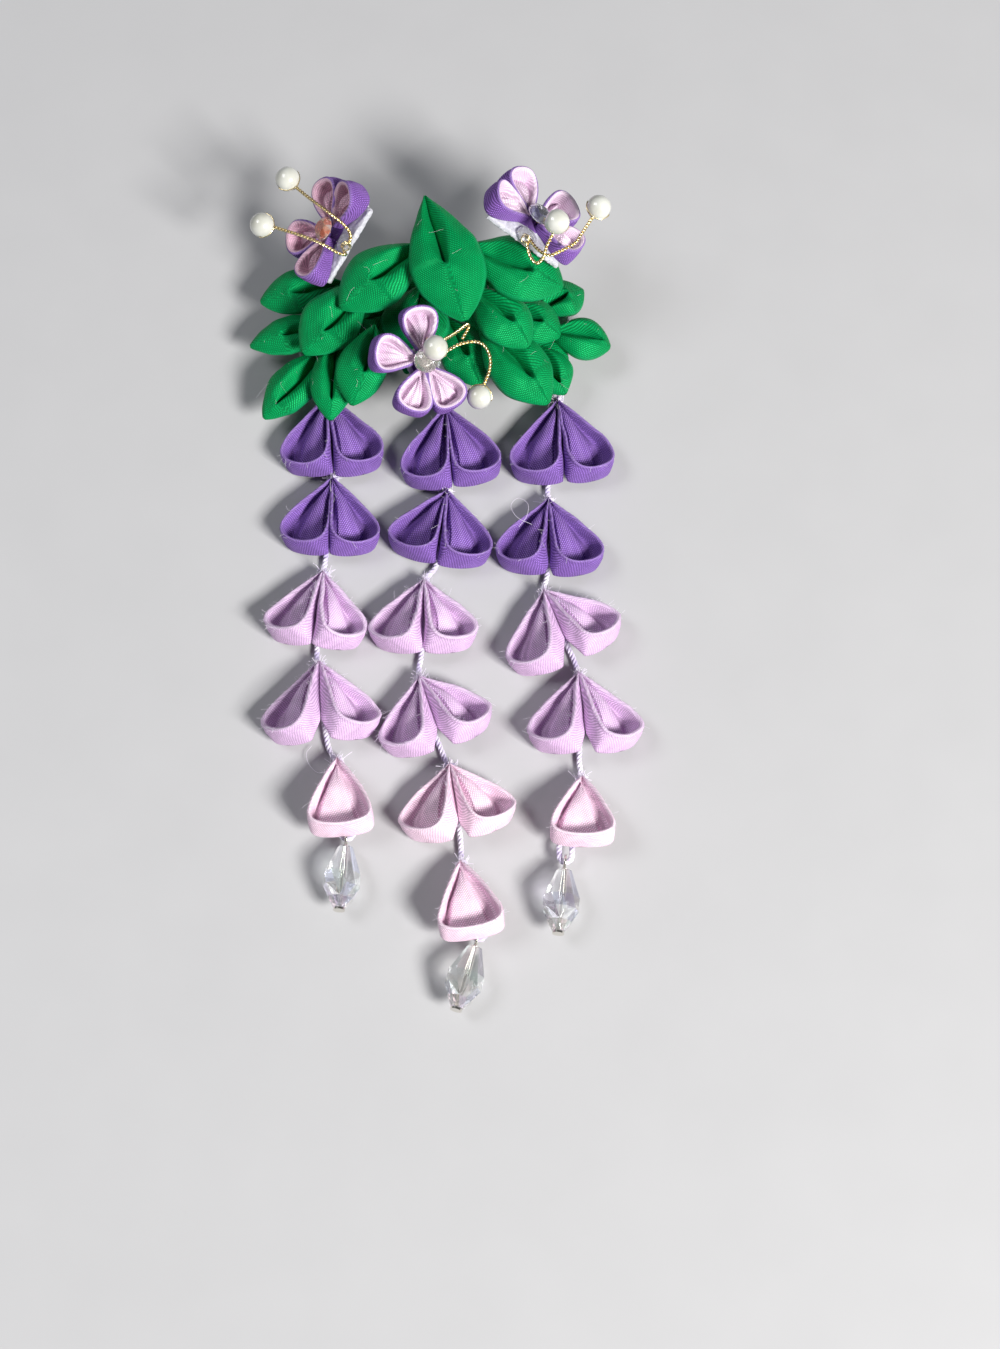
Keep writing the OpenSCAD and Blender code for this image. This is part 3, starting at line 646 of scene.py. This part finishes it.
def petal_shape(foot_length, width, far_h, rim, slope, plump, seed, put, floor_t=0.55, blunt=5, tongue_w=0.62,
                tongue_end=0.9, swing=0.0, pleat=0.0, gather=0.1):
    """Shape of one folded petal along +X. Put moves its points to their place on the piece."""
    half, length, root_h = width / 2, 0.975 * foot_length, root_share * far_h

    def ring_points(a):
        """The petal's fold lines, from the seam under it to the middle of its tongue."""
        t = np.sin(a / 2) ** 2
        way = np.where(a < np.pi, 1.0, -1.0)
        bend_in = np.minimum(1, np.abs(a - np.pi) / math.radians(40))
        x, y = length * t, half * tear(t, plump, blunt) * way
        step = 1e-3
        t2 = np.sin((a + step) / 2) ** 2
        dx, dy = length * (t2 - t), half * tear(t2, plump, blunt) * np.where(a + step < np.pi, 1.0, -1.0) - y
        size = np.hypot(dx, dy) + 1e-9
        # the outline runs clockwise seen from above, so this side is inwards
        nx, ny = dy / size, -dx / size
        top = root_h + (far_h - root_h) * np.sin(a / 2) ** 1.3

        def inside(gap, z):
            reach = np.minimum(gap, 0.55 * np.abs(y) + 0.02)
            px = np.clip(x + nx * reach, 0.15 * gap, length - gap)
            py = y + ny * reach
            return np.stack([px, np.where(py * way < 0, 0, py), z], axis=1)

        foot_x = foot_length * (1 - np.abs(np.cos(a / 2)) ** 2.6)
        foot_y = 0.95 * half * tear(t, plump, blunt) * way
        if slope:
            met = np.minimum(slope * foot_x, 1.1 * half) * bend_in * way
            foot_y = np.where(way < 0, met, foot_y)
        foot = np.stack([foot_x, foot_y, 0 * a], axis=1)
        edge = np.stack([x, y, top], axis=1)

        def wall_at(share):
            bulge = wall_bulge * math.sin(math.pi * share)
            point = foot * (1 - share) + edge * share
            return point - np.stack([nx, ny, 0 * a], axis=1) * bulge * np.minimum(1, 2 * t)[:, None]

        tx = 2 * rim + (tongue_end * length - 2.4 * rim) * t
        square_end = np.minimum(1, np.abs(a - np.pi) / math.radians(24))
        ty = tongue_w * (half - rim) * np.minimum(t / 0.88, square_end) * way
        tz = root_h + tongue_arch * far_h * np.sin(math.radians(200) * t) - 0.1
        spine_y = swing * tx * np.minimum(1, 1.6 - t)
        tongue = np.stack([tx, ty + spine_y, tz], axis=1)
        spine = np.stack([tx, spine_y, tz + 0.4 * np.sin(np.pi * t)], axis=1)
        deep = (top - 0.3) - (top - 0.3 - floor_t) * np.sin(a / 2) ** 0.6
        seam = np.stack([foot_x, 0 * a, 0.25 + 0 * a], axis=1)
        # the second number of each ring marks a fold, which gets lint and a painted highlight
        return [
            (seam, 0), (foot * (1, 0.55, 1), 0), (foot, 0), (wall_at(0.3), 0), (wall_at(0.65), 0),
            (edge - (0, 0, 0.6), 0), (edge - (0, 0, 0.15), 0.3), (inside(0.42 * rim, top + 0.08), 0.9),
            (inside(0.95 * rim, top - 0.22), 0.3), (inside(rim + 0.08, top - 0.75), 0),
            (inside(rim + 0.2, 0.5 * (top + deep)), 0), (inside(rim + 0.45, deep + 0.05), 0),
            (tongue * (1, 1.05, 1) - (0, 0, 0.5), 0), (tongue, 0.3),
            (0.5 * (tongue + spine) + (0, 0, 0.12 - pleat), 0), (spine, 0.3),
        ]

    def shape(u, v):
        a = 2 * math.pi * u
        rings = ring_points(a)
        lines = np.stack([ring for ring, _ in rings])
        ring_fold_marks = np.array([mark for _, mark in rings])
        place = v * (len(rings) - 1)
        k = np.clip(place.astype(int), 0, len(rings) - 2)
        f = (place - k)[:, None]
        n = np.arange(len(u))
        p0, p1 = lines[np.maximum(k - 1, 0), n], lines[k, n]
        p2, p3 = lines[k + 1, n], lines[np.minimum(k + 2, len(rings) - 1), n]
        points = 0.35 * ((1 - f) * p1 + f * p2) + 0.65 * through(p0, p1, p2, p3, f)
        sway = np.minimum(1, points[:, 0] / (0.4 * length))
        points[:, 2] += soft_noise(points, seed, 6) * 0.16 * sway * np.clip(points[:, 2], 0, 1)
        points[:, 1] += soft_noise(points, seed + 9, 7) * 0.12 * sway * np.where(v == 0, 0, 1)
        # pleats that gather at the root
        near_root = np.clip(1 - points[:, 0] / (0.5 * length), 0, 1)
        points[:, 2] += gather * near_root * np.sin(points[:, 1] * 9 + seed)
        lint_and_highlight = (1 - f[:, 0]) * ring_fold_marks[k] + f[:, 0] * ring_fold_marks[k + 1]
        return put(points), lint_and_highlight, points[:, 1::-1]

    return shape


# the row of a petal's sheet where its tongue begins
tongue_from = 0.76
# strand by strand from the top: root x and y, turn from straight down, angle between the petals (0 for a
# single), lean, length
FLORETS = {
    "left": [
        (-20.8, -16, 6, 36, 17, 18.6), (-19.2, -34.4, -1, 34, 20, 17.6), (-20.7, -55.3, -6, 36, 30, 17.2),
        (-21, -74.7, 4, 44, 36, 18), (-16.9, -94.5, 5, 0, 0, 16.2),
    ],
    "middle": [
        (3.8, -18.2, 5, 35, 17, 18.8), (4.2, -37.4, -7, 40, 20, 17), (-0.3, -57, 0, 42, 26, 16),
        (-0.9, -77.6, 18, 50, 28, 16.8), (5.2, -95.7, 9, 50, 30, 16.4), (7.4, -115.2, 10, 0, 0, 15.8),
    ],
    "right": [
        (26.9, -17, 4, 36, 17, 18.8), (24.9, -39.4, 0, 42, 22, 17), (23.9, -59.4, 21, 52, 28, 17.4),
        (30.6, -76.8, 5, 44, 30, 17.8), (31.1, -98.2, -1, 0, 0, 14.4),
    ],
}
petal_width, single_width, petal_height, cord_clear, single_tilt = 10.4, 12.6, 5, 1.55, 10
purple = cloth("deep purple cotton", (0.235, 0.13, 0.43), (0.10, 0.045, 0.21), (0.42, 0.29, 0.64), 1.7, 0.11)
lilac = cloth("lilac cotton", (0.64, 0.45, 0.67), (0.53, 0.35, 0.57), (0.86, 0.74, 0.88), 1.8)
pale = cloth("pale pink cotton", (0.78, 0.58, 0.70), (0.71, 0.50, 0.63), (0.91, 0.79, 0.87), 1.8, 0.05)
# cloth, width of the folded rim, number of long fibres
FLORET_LOOKS = {"deep": (purple, 0.65, 30), "lilac": (lilac, 0.95, 130), "pale": (pale, 0.75, 50)}
lint_finish = new_finish("lint", (0.84, 0.78, 0.90), 0.8, Sheen_Weight=0.3)
# frayed ends at a floret's root, short fibres on its folds, and how low any fibre hangs
fray_count, nap_count, hair_low = 44, 420, 0.1
chance = np.random.default_rng(12)


def hairs(starts, ways, lengths, curl):
    """The paths of fine fibres that start at these points and curl away."""
    made = []
    for start, way, length in zip(starts, ways, lengths):
        way = unit(np.array(way, float))
        bend = chance.normal(size=3) * curl
        path = np.array([start + length * (s * way + s * s * bend) for s in (0, 0.35, 0.7, 1)])
        path[:, 2] = np.maximum(path[:, 2], hair_low)
        made.append(path)
    return made


florets = [(side, n, *row) for side, rows in FLORETS.items() for n, row in enumerate(rows)]
for i, (side, n, x, y, turn, splay, lean, length) in enumerate(florets):
    name = f"{side}_{n + 1}"
    colour = ("deep", "lilac", "pale")[n // 2]
    stand = turn_about("Z", turn - 90)
    finish, rim, lint_count = FLORET_LOOKS[colour]
    petals = []
    if splay:
        low_side = 0.49 * petal_width * math.sin(math.radians(lean)) + 0.2 - cord_clear
        rise = math.degrees(math.asin(low_side / (0.8 * length)))
        tip_over = turn_about("Z", splay / 2) @ turn_about("Y", -rise) @ turn_about("X", -lean)
        slope = 0.97 * math.tan(math.radians(splay / 2)) / math.cos(math.radians(lean))
        for way in (1, -1):
            wilt = chance.uniform(-1, 1, 4)
            tipped = tip_over @ turn_about("X", 3 * wilt[0])

            def put(points, way=way, tipped=tipped):
                points = points @ tipped.T + (0, 0, cord_clear)
                # the two petals are pressed together at their root
                pressed = np.clip(1 - points[:, 0] / (0.6 * length), 0, 1)
                points[:, 1] = np.maximum(points[:, 1] - pressed, 0.03)
                return (points * (1, way, 1)) @ stand.T + (x, y, 0)

            seed = 2 * i + (way > 0)
            long, wide = length * (1 + 0.03 * wilt[1]), petal_width * (1 + 0.04 * wilt[2])
            shape = petal_shape(long, wide, petal_height, rim, slope, 1, seed, put,
                                tongue_w=0.52, swing=0.04 * wilt[3] - 0.07)
            petals.append(fold_cloth("petal", 60, 45, shape, seed, flat_from=tongue_from))
    else:
        lifted = turn_about("Y", -single_tilt)

        def put(points):
            return (points @ lifted.T + (0, 0, cord_clear)) @ stand.T + (x, y, 0)

        shape = petal_shape(length, single_width, petal_height, rim, 0, 0.8, 2 * i, put,
                            blunt=8, tongue_w=0.66, tongue_end=0.98, swing=-0.07)
        petals.append(fold_cloth("petal", 68, 45, shape, 2 * i, flat_from=tongue_from))
    for petal in petals:
        petal.data.materials.append(finish)
    # a turn of thread ties the root to the cord, with the frayed ends of the cloth standing out of it
    s = np.linspace(0, 1, 40)
    tie = np.stack([-0.5 + 1.5 * s, 0.95 * np.cos(16 * s), 1.35 + 0.95 * np.sin(16 * s)], axis=1)
    frays = hairs(chance.normal(size=(fray_count, 3)) * (0.35, 0.5, 0.3) + (0.3, 0, 1.9),
                  chance.normal(size=(fray_count, 3)) * (0.6, 0.8, 0.5) + (-0.7, 0, 0.5),
                  chance.uniform(0.6, 2.0, fray_count), 0.3)
    knot = round_bars("tie", [tie @ stand.T + (x, y, 0)], 0.24, cord_finish)
    tuft = round_bars("fray", [path @ stand.T + (x, y, 0) for path in frays], 0.06, lint_finish, sides=0)
    # lint and a short nap along the fold edges
    folds = []
    for petal in petals:
        marks = np.array([mark.value for mark in petal.data.attributes["fold"].data])
        folds.append(get_points(petal.data)[marks > 0.45] / MM)
    folds = np.concatenate(folds)
    picked = folds[chance.integers(0, len(folds), lint_count)]
    outward = (picked - folds.mean(axis=0)) * (1, 1, 0.6)
    ways = unit(outward) + chance.normal(size=outward.shape) * 0.5
    fibres = hairs(picked, ways, chance.uniform(0.4, 1.3, lint_count), 0.35)
    lint = round_bars("lint", fibres, 0.022, lint_finish, sides=0)
    picked = folds[chance.integers(0, len(folds), nap_count)]
    ways = unit(picked - folds.mean(axis=0)) * 0.6 + chance.normal(size=picked.shape)
    fibres = hairs(picked, ways, chance.uniform(0.1, 0.3, nap_count), 0.3)
    nap = round_bars("nap", fibres, 0.016, finish, sides=0)
    floret = join(petals + [knot, tuft, lint, nap], "cloth_floret_" + name)
    finish_piece(floret, colour + "_cloth", "floret_" + name)

# Two stray threads that cling to the strands in the photograph, and loose fibres on the leaves
STRAYS = [
    [(-18.2, -96.4, 3), (-20.5, -97, 2), (-22.6, -95, 1.2), (-23.2, -92.6, 0.8), (-22.2, -91, 0.6)],
    [(21.5, -46, 5.6), (18.5, -44.6, 6), (17.2, -42, 5.6), (18.6, -40.2, 5.4), (20.6, -41.6, 6),
     (20.4, -44.4, 6.2), (18.8, -46.6, 5.8)],
]
strays = round_bars("stray_threads", [smooth_path(path, 0.4) for path in STRAYS], 0.04, lint_finish, sides=0)
fluff_count = 4
fluff = []
for name, *_ in LEAVES:
    skin = get_points(bpy.data.objects["cloth_leaf_" + name].data) / MM
    skin = skin[skin[:, 2] > np.percentile(skin[:, 2], 60)]
    picked = skin[chance.integers(0, len(skin), fluff_count)] + (0, 0, 0.06)
    ways = chance.normal(size=picked.shape) * (1, 1, 0.12) + (0, 0, 0.08)
    fibres = hairs(picked, ways, chance.uniform(0.8, 2.2, fluff_count), 0.8)
    fluff += [smooth_path(path, 0.2) for path in fibres]
strays = join([strays, round_bars("fluff", fluff, 0.012, lint_finish, sides=0)])
finish_piece(strays, "cord")

# Drops
# A faceted glass drop with a faint rainbow coat hangs on a bent wire pin from each cord. The pin's
# own solid has the right shape, so it stays and takes polished wire.
pin_finish = new_finish("pin wire", (0.80, 0.77, 0.70), 0.16, Metallic=1)
roughen_by(pin_finish, noise_on(pin_finish, 1500, 3), 0.1, 0.3)
for side, *_ in DROPS:
    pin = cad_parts["pin_" + side]
    pin.data.materials.clear()
    pin.data.materials.append(pin_finish)


def cut_glass(name, tints, body=0.85, glint=0.06):
    """Clear cut glass whose facets carry a faint rainbow tint from their own attribute. Some facets glow in
    their tint, a painted glint.
    """
    finish = new_finish(name, (0.95, 0.97, 1), 0.03, Transmission_Weight=body, IOR=1.42, Coat_Weight=1,
                        Coat_Roughness=0.02, Emission_Strength=glint)
    tree = finish.node_tree
    facet = add_node(tree, "ShaderNodeAttribute", attribute_name="facet").outputs["Fac"]
    ramp = add_node(tree, "ShaderNodeValToRGB", {"Fac": facet})
    ramp.color_ramp.interpolation = "CONSTANT"
    for k, tint in enumerate(tints):
        stop = ramp.color_ramp.elements[k] if k < 2 else ramp.color_ramp.elements.new(k / len(tints))
        stop.position = k / len(tints)
        stop.color = (*tint, 1)
    # another order of the facets decides which of them glow with a painted glint
    order = calc(tree, "FRACT", calc(tree, "MULTIPLY", facet, 7.3))
    glint_glow = scaled(tree, ramp.outputs["Color"], remap(tree, order, 0.5, 1, 0, 1))
    feed(finish, Base_Color=ramp.outputs["Color"], Emission_Color=glint_glow)
    return finish


def cut_stone(name, rings, seed):
    """Flat-faceted solid through these rings: sides, radius, height and turn of each, in millimetres."""
    circles = []
    for sides, radius, height, turn in rings:
        bpy.ops.mesh.primitive_circle_add(
            vertices=sides, radius=radius * MM, location=(0, 0, height * MM), rotation=(0, 0, turn))
        circles.append(bpy.context.object)
    piece = join(circles, name)
    bpy.ops.object.transform_apply(location=True, rotation=True, scale=True)
    bpy.ops.object.mode_set(mode="EDIT")
    bpy.ops.mesh.select_all(action="SELECT")
    bpy.ops.mesh.convex_hull()
    bpy.ops.mesh.dissolve_limited(angle_limit=math.radians(1))
    bpy.ops.object.mode_set(mode="OBJECT")
    mark = piece.data.attributes.new("facet", "FLOAT", "FACE")
    mark.data.foreach_set("value", np.random.default_rng(seed).random(len(piece.data.polygons)))
    edge = piece.modifiers.new("edge", "BEVEL")
    edge.width = 0.04 * MM
    edge.segments = 1
    apply_all(piece)
    return piece


def put_points(piece, points, turn, spot):
    """Gives a piece these points, turned about zero and then moved to a spot, all in millimetres."""
    set_points(piece.data, (points @ turn.T + spot) * MM)


RAINBOW = [
    (0.97, 0.98, 1), (0.78, 0.82, 1), (1, 1, 1), (0.90, 0.84, 1), (0.90, 1, 0.97), (1, 0.97, 0.92),
    (0.98, 1, 1),
]
# the drops' facets glow brighter than the stones', a painted glint
drop_glass = cut_glass("rainbow glass", RAINBOW, body=0.9, glint=0.24)
crystal_start, crystal_length, crystal_d, drop_tilt = 1.9, 12.4, 7.4, -8
# share of the length, share of the width, and whether the ring is turned half a facet
DROP_RINGS = [(0, 0.4, 0), (0.46, 0.99, 0), (0.66, 0.96, 1), (0.85, 0.68, 0), (1, 0.34, 1)]
for k, (side, x, y, turn) in enumerate(DROPS):
    rings = [(10, crystal_d / 2 * wide, -crystal_length * deep, turned * math.pi / 10)
             for deep, wide, turned in DROP_RINGS]
    drop = cut_stone("glass_drop_" + side, rings, 40 + k)
    lay = turn_about("Z", turn) @ turn_about("X", drop_tilt) @ turn_about("X", -90)
    put_points(drop, get_points(drop.data) / MM - (0, 0, crystal_start), lay, (x, y, eye_height))
    finish_piece(drop, "cut_glass", "crystal_" + side, look=drop_glass, flat=True)

# Butterflies
# Each butterfly is four folded wings with a purple outer and a pale pink inner cloth, glued on a
# white felt around a round cut stone, with two antennae of twisted gilt wire that end in pearls.
wing_outer = cloth("wing outer", (0.24, 0.12, 0.43), (0.085, 0.035, 0.17), (0.45, 0.33, 0.66), 1.7, 0.12)
# the left butterfly's lining is a darker, mauver copy of the pale lining, painted shade
shaded_lining = cloth("shaded lining", (0.64, 0.41, 0.52), (0.50, 0.29, 0.39), (0.74, 0.54, 0.65), relief=0.05)
pale_pink = cloth("pale lining", (0.68, 0.54, 0.66), (0.58, 0.43, 0.56), (0.76, 0.64, 0.73), relief=0.05)
WING_LINING = {"left": shaded_lining, "centre": pale_pink, "right": pale_pink}
# the colours on each stone's facets are painted reflections
STONE_PAINTED_REFLECTIONS = {
    "left": [(1, 0.32, 0.2), (1, 1, 1), (1, 0.66, 0.5), (1, 1, 1), (0.8, 0.3, 0.24)],
    "centre": [(0.96, 0.95, 0.9), (0.72, 0.7, 0.66), (1, 1, 1), (0.85, 0.83, 0.78), (1, 0.96, 0.88)],
    "right": [(0.9, 0.9, 1), (0.45, 0.4, 0.75), (1, 1, 1), (0.6, 0.55, 0.85), (0.8, 0.85, 1)],
}
foil = new_finish("stone foil", (0.75, 0.74, 0.76), 0.12, Metallic=1)
glue_finish = new_finish("clear glue", (0.90, 0.90, 0.94), 0.18, Transmission_Weight=0.75, IOR=1.45)
raise_by(glue_finish, noise_on(glue_finish, 1100, 3), 0.3, 0.1)
gilt = new_finish("gilt wire", (0.92, 0.76, 0.42), 0.24, Metallic=1)
roughen_by(gilt, noise_on(gilt, 2500, 3), 0.16, 0.36)
pearl_finish = new_finish("pearl", (0.92, 0.90, 0.85), 0.22, Coat_Weight=0.8, Coat_Roughness=0.12,
                          Specular_IOR_Level=0.6)
nacre = noise_on(pearl_finish, 260, 3)
tint_by(pearl_finish, nacre, (0.35, (0.56, 0.56, 0.49)), (0.65, (0.68, 0.69, 0.64)))
raise_by(pearl_finish, nacre, 0.2, 0.2)

wing_length, wing_width, wing_height, wing_root, wing_lift = 10, 7.6, 4.6, 1.2, 0.15
felt_thick, stone_z, pearl_r = 1.2, 2.9, 2.5
# the twisted pair of wires and a wire on its own: radius, distance off the middle line, length of a twist
wire_r, wire_off, wire_twist, single_r = 0.2, 0.19, 1.5, 0.11
# sides, radius, height and turn of each ring of a round stone, from its table down to its back
STONE_RINGS = [
    (8, 1.35, 1.9, math.pi / 8), (8, 1.95, 1.5, 0), (16, 2.45, 0.85, 0), (16, 2.5, 0.6, 0),
    (8, 1.4, 0.08, math.pi / 8),
]
# name, middle, lean, way it leans, spin of the head, wing angles, felt depth, length and reach, wires, pearls
BUTTERFLIES = [
    ("left", (-18.3, 12.7, 18.4), 46, 183, 127, (85, 138, -137, -77), (11, 17.6, 5.4),
     [[(-15.6, 8.4, 21.6), (-15.3, 10.1, 23), (-16.7, 11.6, 24.6), (-19.5, 13.8, 25.2), (-23.3, 17.3, 24.4),
       (-26.4, 20.6, 23.3)],
      [(-16.6, 7.4, 20.8), (-16.2, 6, 22), (-17.7, 5.9, 23), (-20.5, 7.5, 23.4), (-24.6, 9.7, 22.8),
       (-30.8, 12.6, 21.4)]],
     [(-28.3, 22.7, 23), (-33.4, 13.3, 21)]),
    ("centre", (-0.7, -14.8, 15.5), 24, -50, 74, (78, 150, -129, -76), (6.2, 6.2, 3),
     [[(7.4, -10.5, 17.3), (8.4, -8.6, 17.4), (8.7, -7.6, 18), (8, -8.2, 18.7), (6.3, -10.3, 20),
       (3.5, -13.9, 23.2)],
      [(2.3, -13.4, 15.8), (4.2, -12.7, 16.4), (6.8, -11.7, 17.4), (9.9, -11.2, 17.6), (11.9, -12, 17.4),
       (13, -14.3, 17), (12.9, -16.9, 16.4), (11.8, -19.3, 14.9)]],
     [(2.2, -16, 24.5), (10.8, -21.5, 13.5)]),
    ("right", (21, 12.3, 23.1), 36, 20, 230, (83, 145, -134, -78), (11, 17.6, 5.4),
     [[(20.8, 7.8, 25.6), (22.6, 4.8, 26.4), (24.7, 3.4, 26.6), (26.9, 4.1, 26.8), (30, 6, 26.8),
       (31.2, 7.9, 26.6), (33.6, 12.1, 26.2)],
      [(20.3, 6.8, 26), (21, 3.7, 25.8), (22.3, 2.1, 25.8), (23.6, 2.8, 26.8), (24.3, 4.7, 27.8),
       (25.5, 6.8, 29)]],
     [(26.3, 8.4, 31), (34.9, 14.5, 26)]),
]
# which pearl each wire ends in
PEARL_OF_WIRE = {"left": (0, 1), "centre": (0, 1), "right": (1, 0)}
for b, (name, middle, lean, way, spin, angles, felt, wires, pearls) in enumerate(BUTTERFLIES):
    stand = turn_about("Z", way) @ turn_about("Y", lean) @ turn_about("Z", spin)
    # felt
    depth, long_side, reach = felt
    bpy.ops.mesh.primitive_cube_add(size=1)
    pad = bpy.context.object
    pad.name = "felt_" + name
    points = get_points(pad.data) * (depth, long_side, felt_thick)
    put_points(pad, points + (reach - depth / 2, 0, -felt_thick / 2), stand, middle)
    soften_felt(pad, 70 + b, 0.13 * MM)
    finish_piece(pad, "white_felt", f"butterfly_{name}_felt", look=felt_finish)
    # a sheet of the purple wing cloth lies spread on the felt, as the wings' trimmed ends and as painted
    # shade that darkens the felt
    bpy.ops.mesh.primitive_grid_add(x_subdivisions=24, y_subdivisions=36, size=1)
    shade_patch = bpy.context.object
    patch = 0.57 * depth
    lay = get_points(shade_patch.data) * (patch, long_side - 2.2, 0) + (reach - depth + 0.7 + patch / 2, 0, 0.08)
    lay[:, :2] += 0.2 * np.stack([soft_noise(lay, 400 + b, 3), soft_noise(lay, 410 + b, 3)], axis=1)
    lay[:, 2] += 0.04 * soft_noise(lay, 420 + b, 2)
    put_points(shade_patch, lay, stand, middle)
    for corner in shade_patch.data.uv_layers.active.data:
        corner.uv = (corner.uv[0] * depth, corner.uv[1] * long_side)
    shade_patch.data.materials.append(wing_outer)
    # wings
    wings = []
    for k, angle in enumerate(angles):
        spread = stand @ turn_about("Z", angle)

        def put(points, spread=spread):
            return (points + (wing_root, 0, 0)) @ spread.T + stand @ (0, 0, wing_lift) + middle

        shape = petal_shape(wing_length, wing_width, wing_height, 1.0, 0, 0.75, 100 + 10 * b + k, put,
                            floor_t=0.5, blunt=3.4, tongue_w=0.66, tongue_end=0.94, pleat=0.6, gather=0.03)
        # the sheet's rows run from its underside over the rim, where the pink cloth starts, to the tongue
        wing = fold_cloth("wing", 56, 45, shape, 10 * b + k, flat_from=tongue_from, inner_from=7 / 15)
        wing.data.materials.append(wing_outer)
        wing.data.materials.append(WING_LINING[name])
        wings.append(wing)
    wings = join(wings + [shade_patch], "cloth_wings_" + name)
    finish_piece(wings, "wing_cloth", f"butterfly_{name}_wings")
    # stone, with a foil cup under it
    stone = cut_stone("stone_" + name, STONE_RINGS, 60 + b)
    put_points(stone, get_points(stone.data) / MM + (0, 0, stone_z), stand, middle)
    stone.data.materials.append(cut_glass(name + " stone glass", STONE_PAINTED_REFLECTIONS[name]))
    bpy.ops.mesh.primitive_cone_add(
        vertices=16, radius1=1.3 * MM, radius2=2.55 * MM, depth=0.6 * MM, end_fill_type="NOTHING")
    cup = bpy.context.object
    wall = cup.modifiers.new("wall", "SOLIDIFY")
    wall.thickness = 0.12 * MM
    apply_all(cup)
    put_points(cup, get_points(cup.data) / MM + (0, 0, stone_z + 0.25), stand, middle)
    bpy.ops.mesh.primitive_circle_add(vertices=16, radius=1.32 * MM, fill_type="NGON")
    disc = bpy.context.object
    put_points(disc, get_points(disc.data) / MM + (0, 0, stone_z - 0.03), stand, middle)
    cup = join([cup, disc])
    cup.data.materials.append(foil)
    finish_piece(join([stone, cup]), "cut_glass", f"butterfly_{name}_stone", flat=True)
    # wires
    strands = []
    singles = []
    holes = {}
    for path, pearl in zip(wires, PEARL_OF_WIRE[name]):
        line = smooth_path(path, 0.12)
        strands += plies(line, 2, wire_off, wire_twist)
        # past the twist the two strands part round the pearl and meet in its hole
        end, hub = line[-1], np.array(pearls[pearl], float)
        back = unit(end - hub)
        side = unit(np.cross(back, (0.1, -0.3, 1)))
        holes[pearl] = side
        for way in (1, -1):
            arc = [hub + (pearl_r + 0.05) * (back * math.cos(a) + way * side * math.sin(a))
                   for a in (0.45, 0.8, 1.2, 1.5)]
            singles.append(smooth_path([end, *arc, hub + way * side * (pearl_r - 0.3)], 0.2))
    # the roots of the wires are wound into a small coil at the head
    head = stand @ (reach + 0.3, 0, 0.75) + middle
    a = np.linspace(0, 6 * math.pi, 70)
    advance = np.linspace(-0.7, 0.7, 70)
    coil = np.stack([0.25 * np.cos(a) + advance, 0.9 * np.cos(a), 0.75 * np.sin(a)], axis=1)
    singles.append(coil @ stand.T + head)
    twisted = round_bars("twisted", strands, wire_r, gilt)
    wire = join([twisted, round_bars("ends", singles, single_r, gilt)], "gilt_wires_" + name)
    finish_piece(wire, "gold_wire", f"butterfly_{name}_wires")
    # glue
    bpy.ops.mesh.primitive_uv_sphere_add(segments=28, ring_count=16, radius=1)
    glue = bpy.context.object
    glue.name = "glue_" + name
    points = get_points(glue.data)
    points = points * (2.0, 2.3, 0.8) * (1 + 0.18 * soft_noise(points, 200 + b, 1.3))[:, None]
    put_points(glue, points + (reach - 1.3, 0, 0.35), stand, middle)
    finish_piece(glue, "cut_glass", look=glue_finish)
    # pearls
    beads = []
    for k, place in enumerate(pearls):
        bpy.ops.mesh.primitive_uv_sphere_add(segments=48, ring_count=32, radius=1)
        bead = bpy.context.object
        points = get_points(bead.data)
        # the drilled hole sinks in at the poles, and the skin is a little uneven
        points[:, 2] *= np.where(np.abs(points[:, 2]) > 0.988, 0.86, 1)
        points = points * pearl_r * (1 + 0.012 * soft_noise(points, 300 + 2 * b + k, 1.2))[:, None]
        across = unit(np.cross(holes[k], (0, 0.3, 1)))
        put_points(bead, points, np.stack([across, np.cross(holes[k], across), holes[k]], axis=1), place)
        beads.append(bead)
    pair = join(beads, "pearls_" + name)
    finish_piece(pair, "pearl", f"butterfly_{name}_pearls", look=pearl_finish)
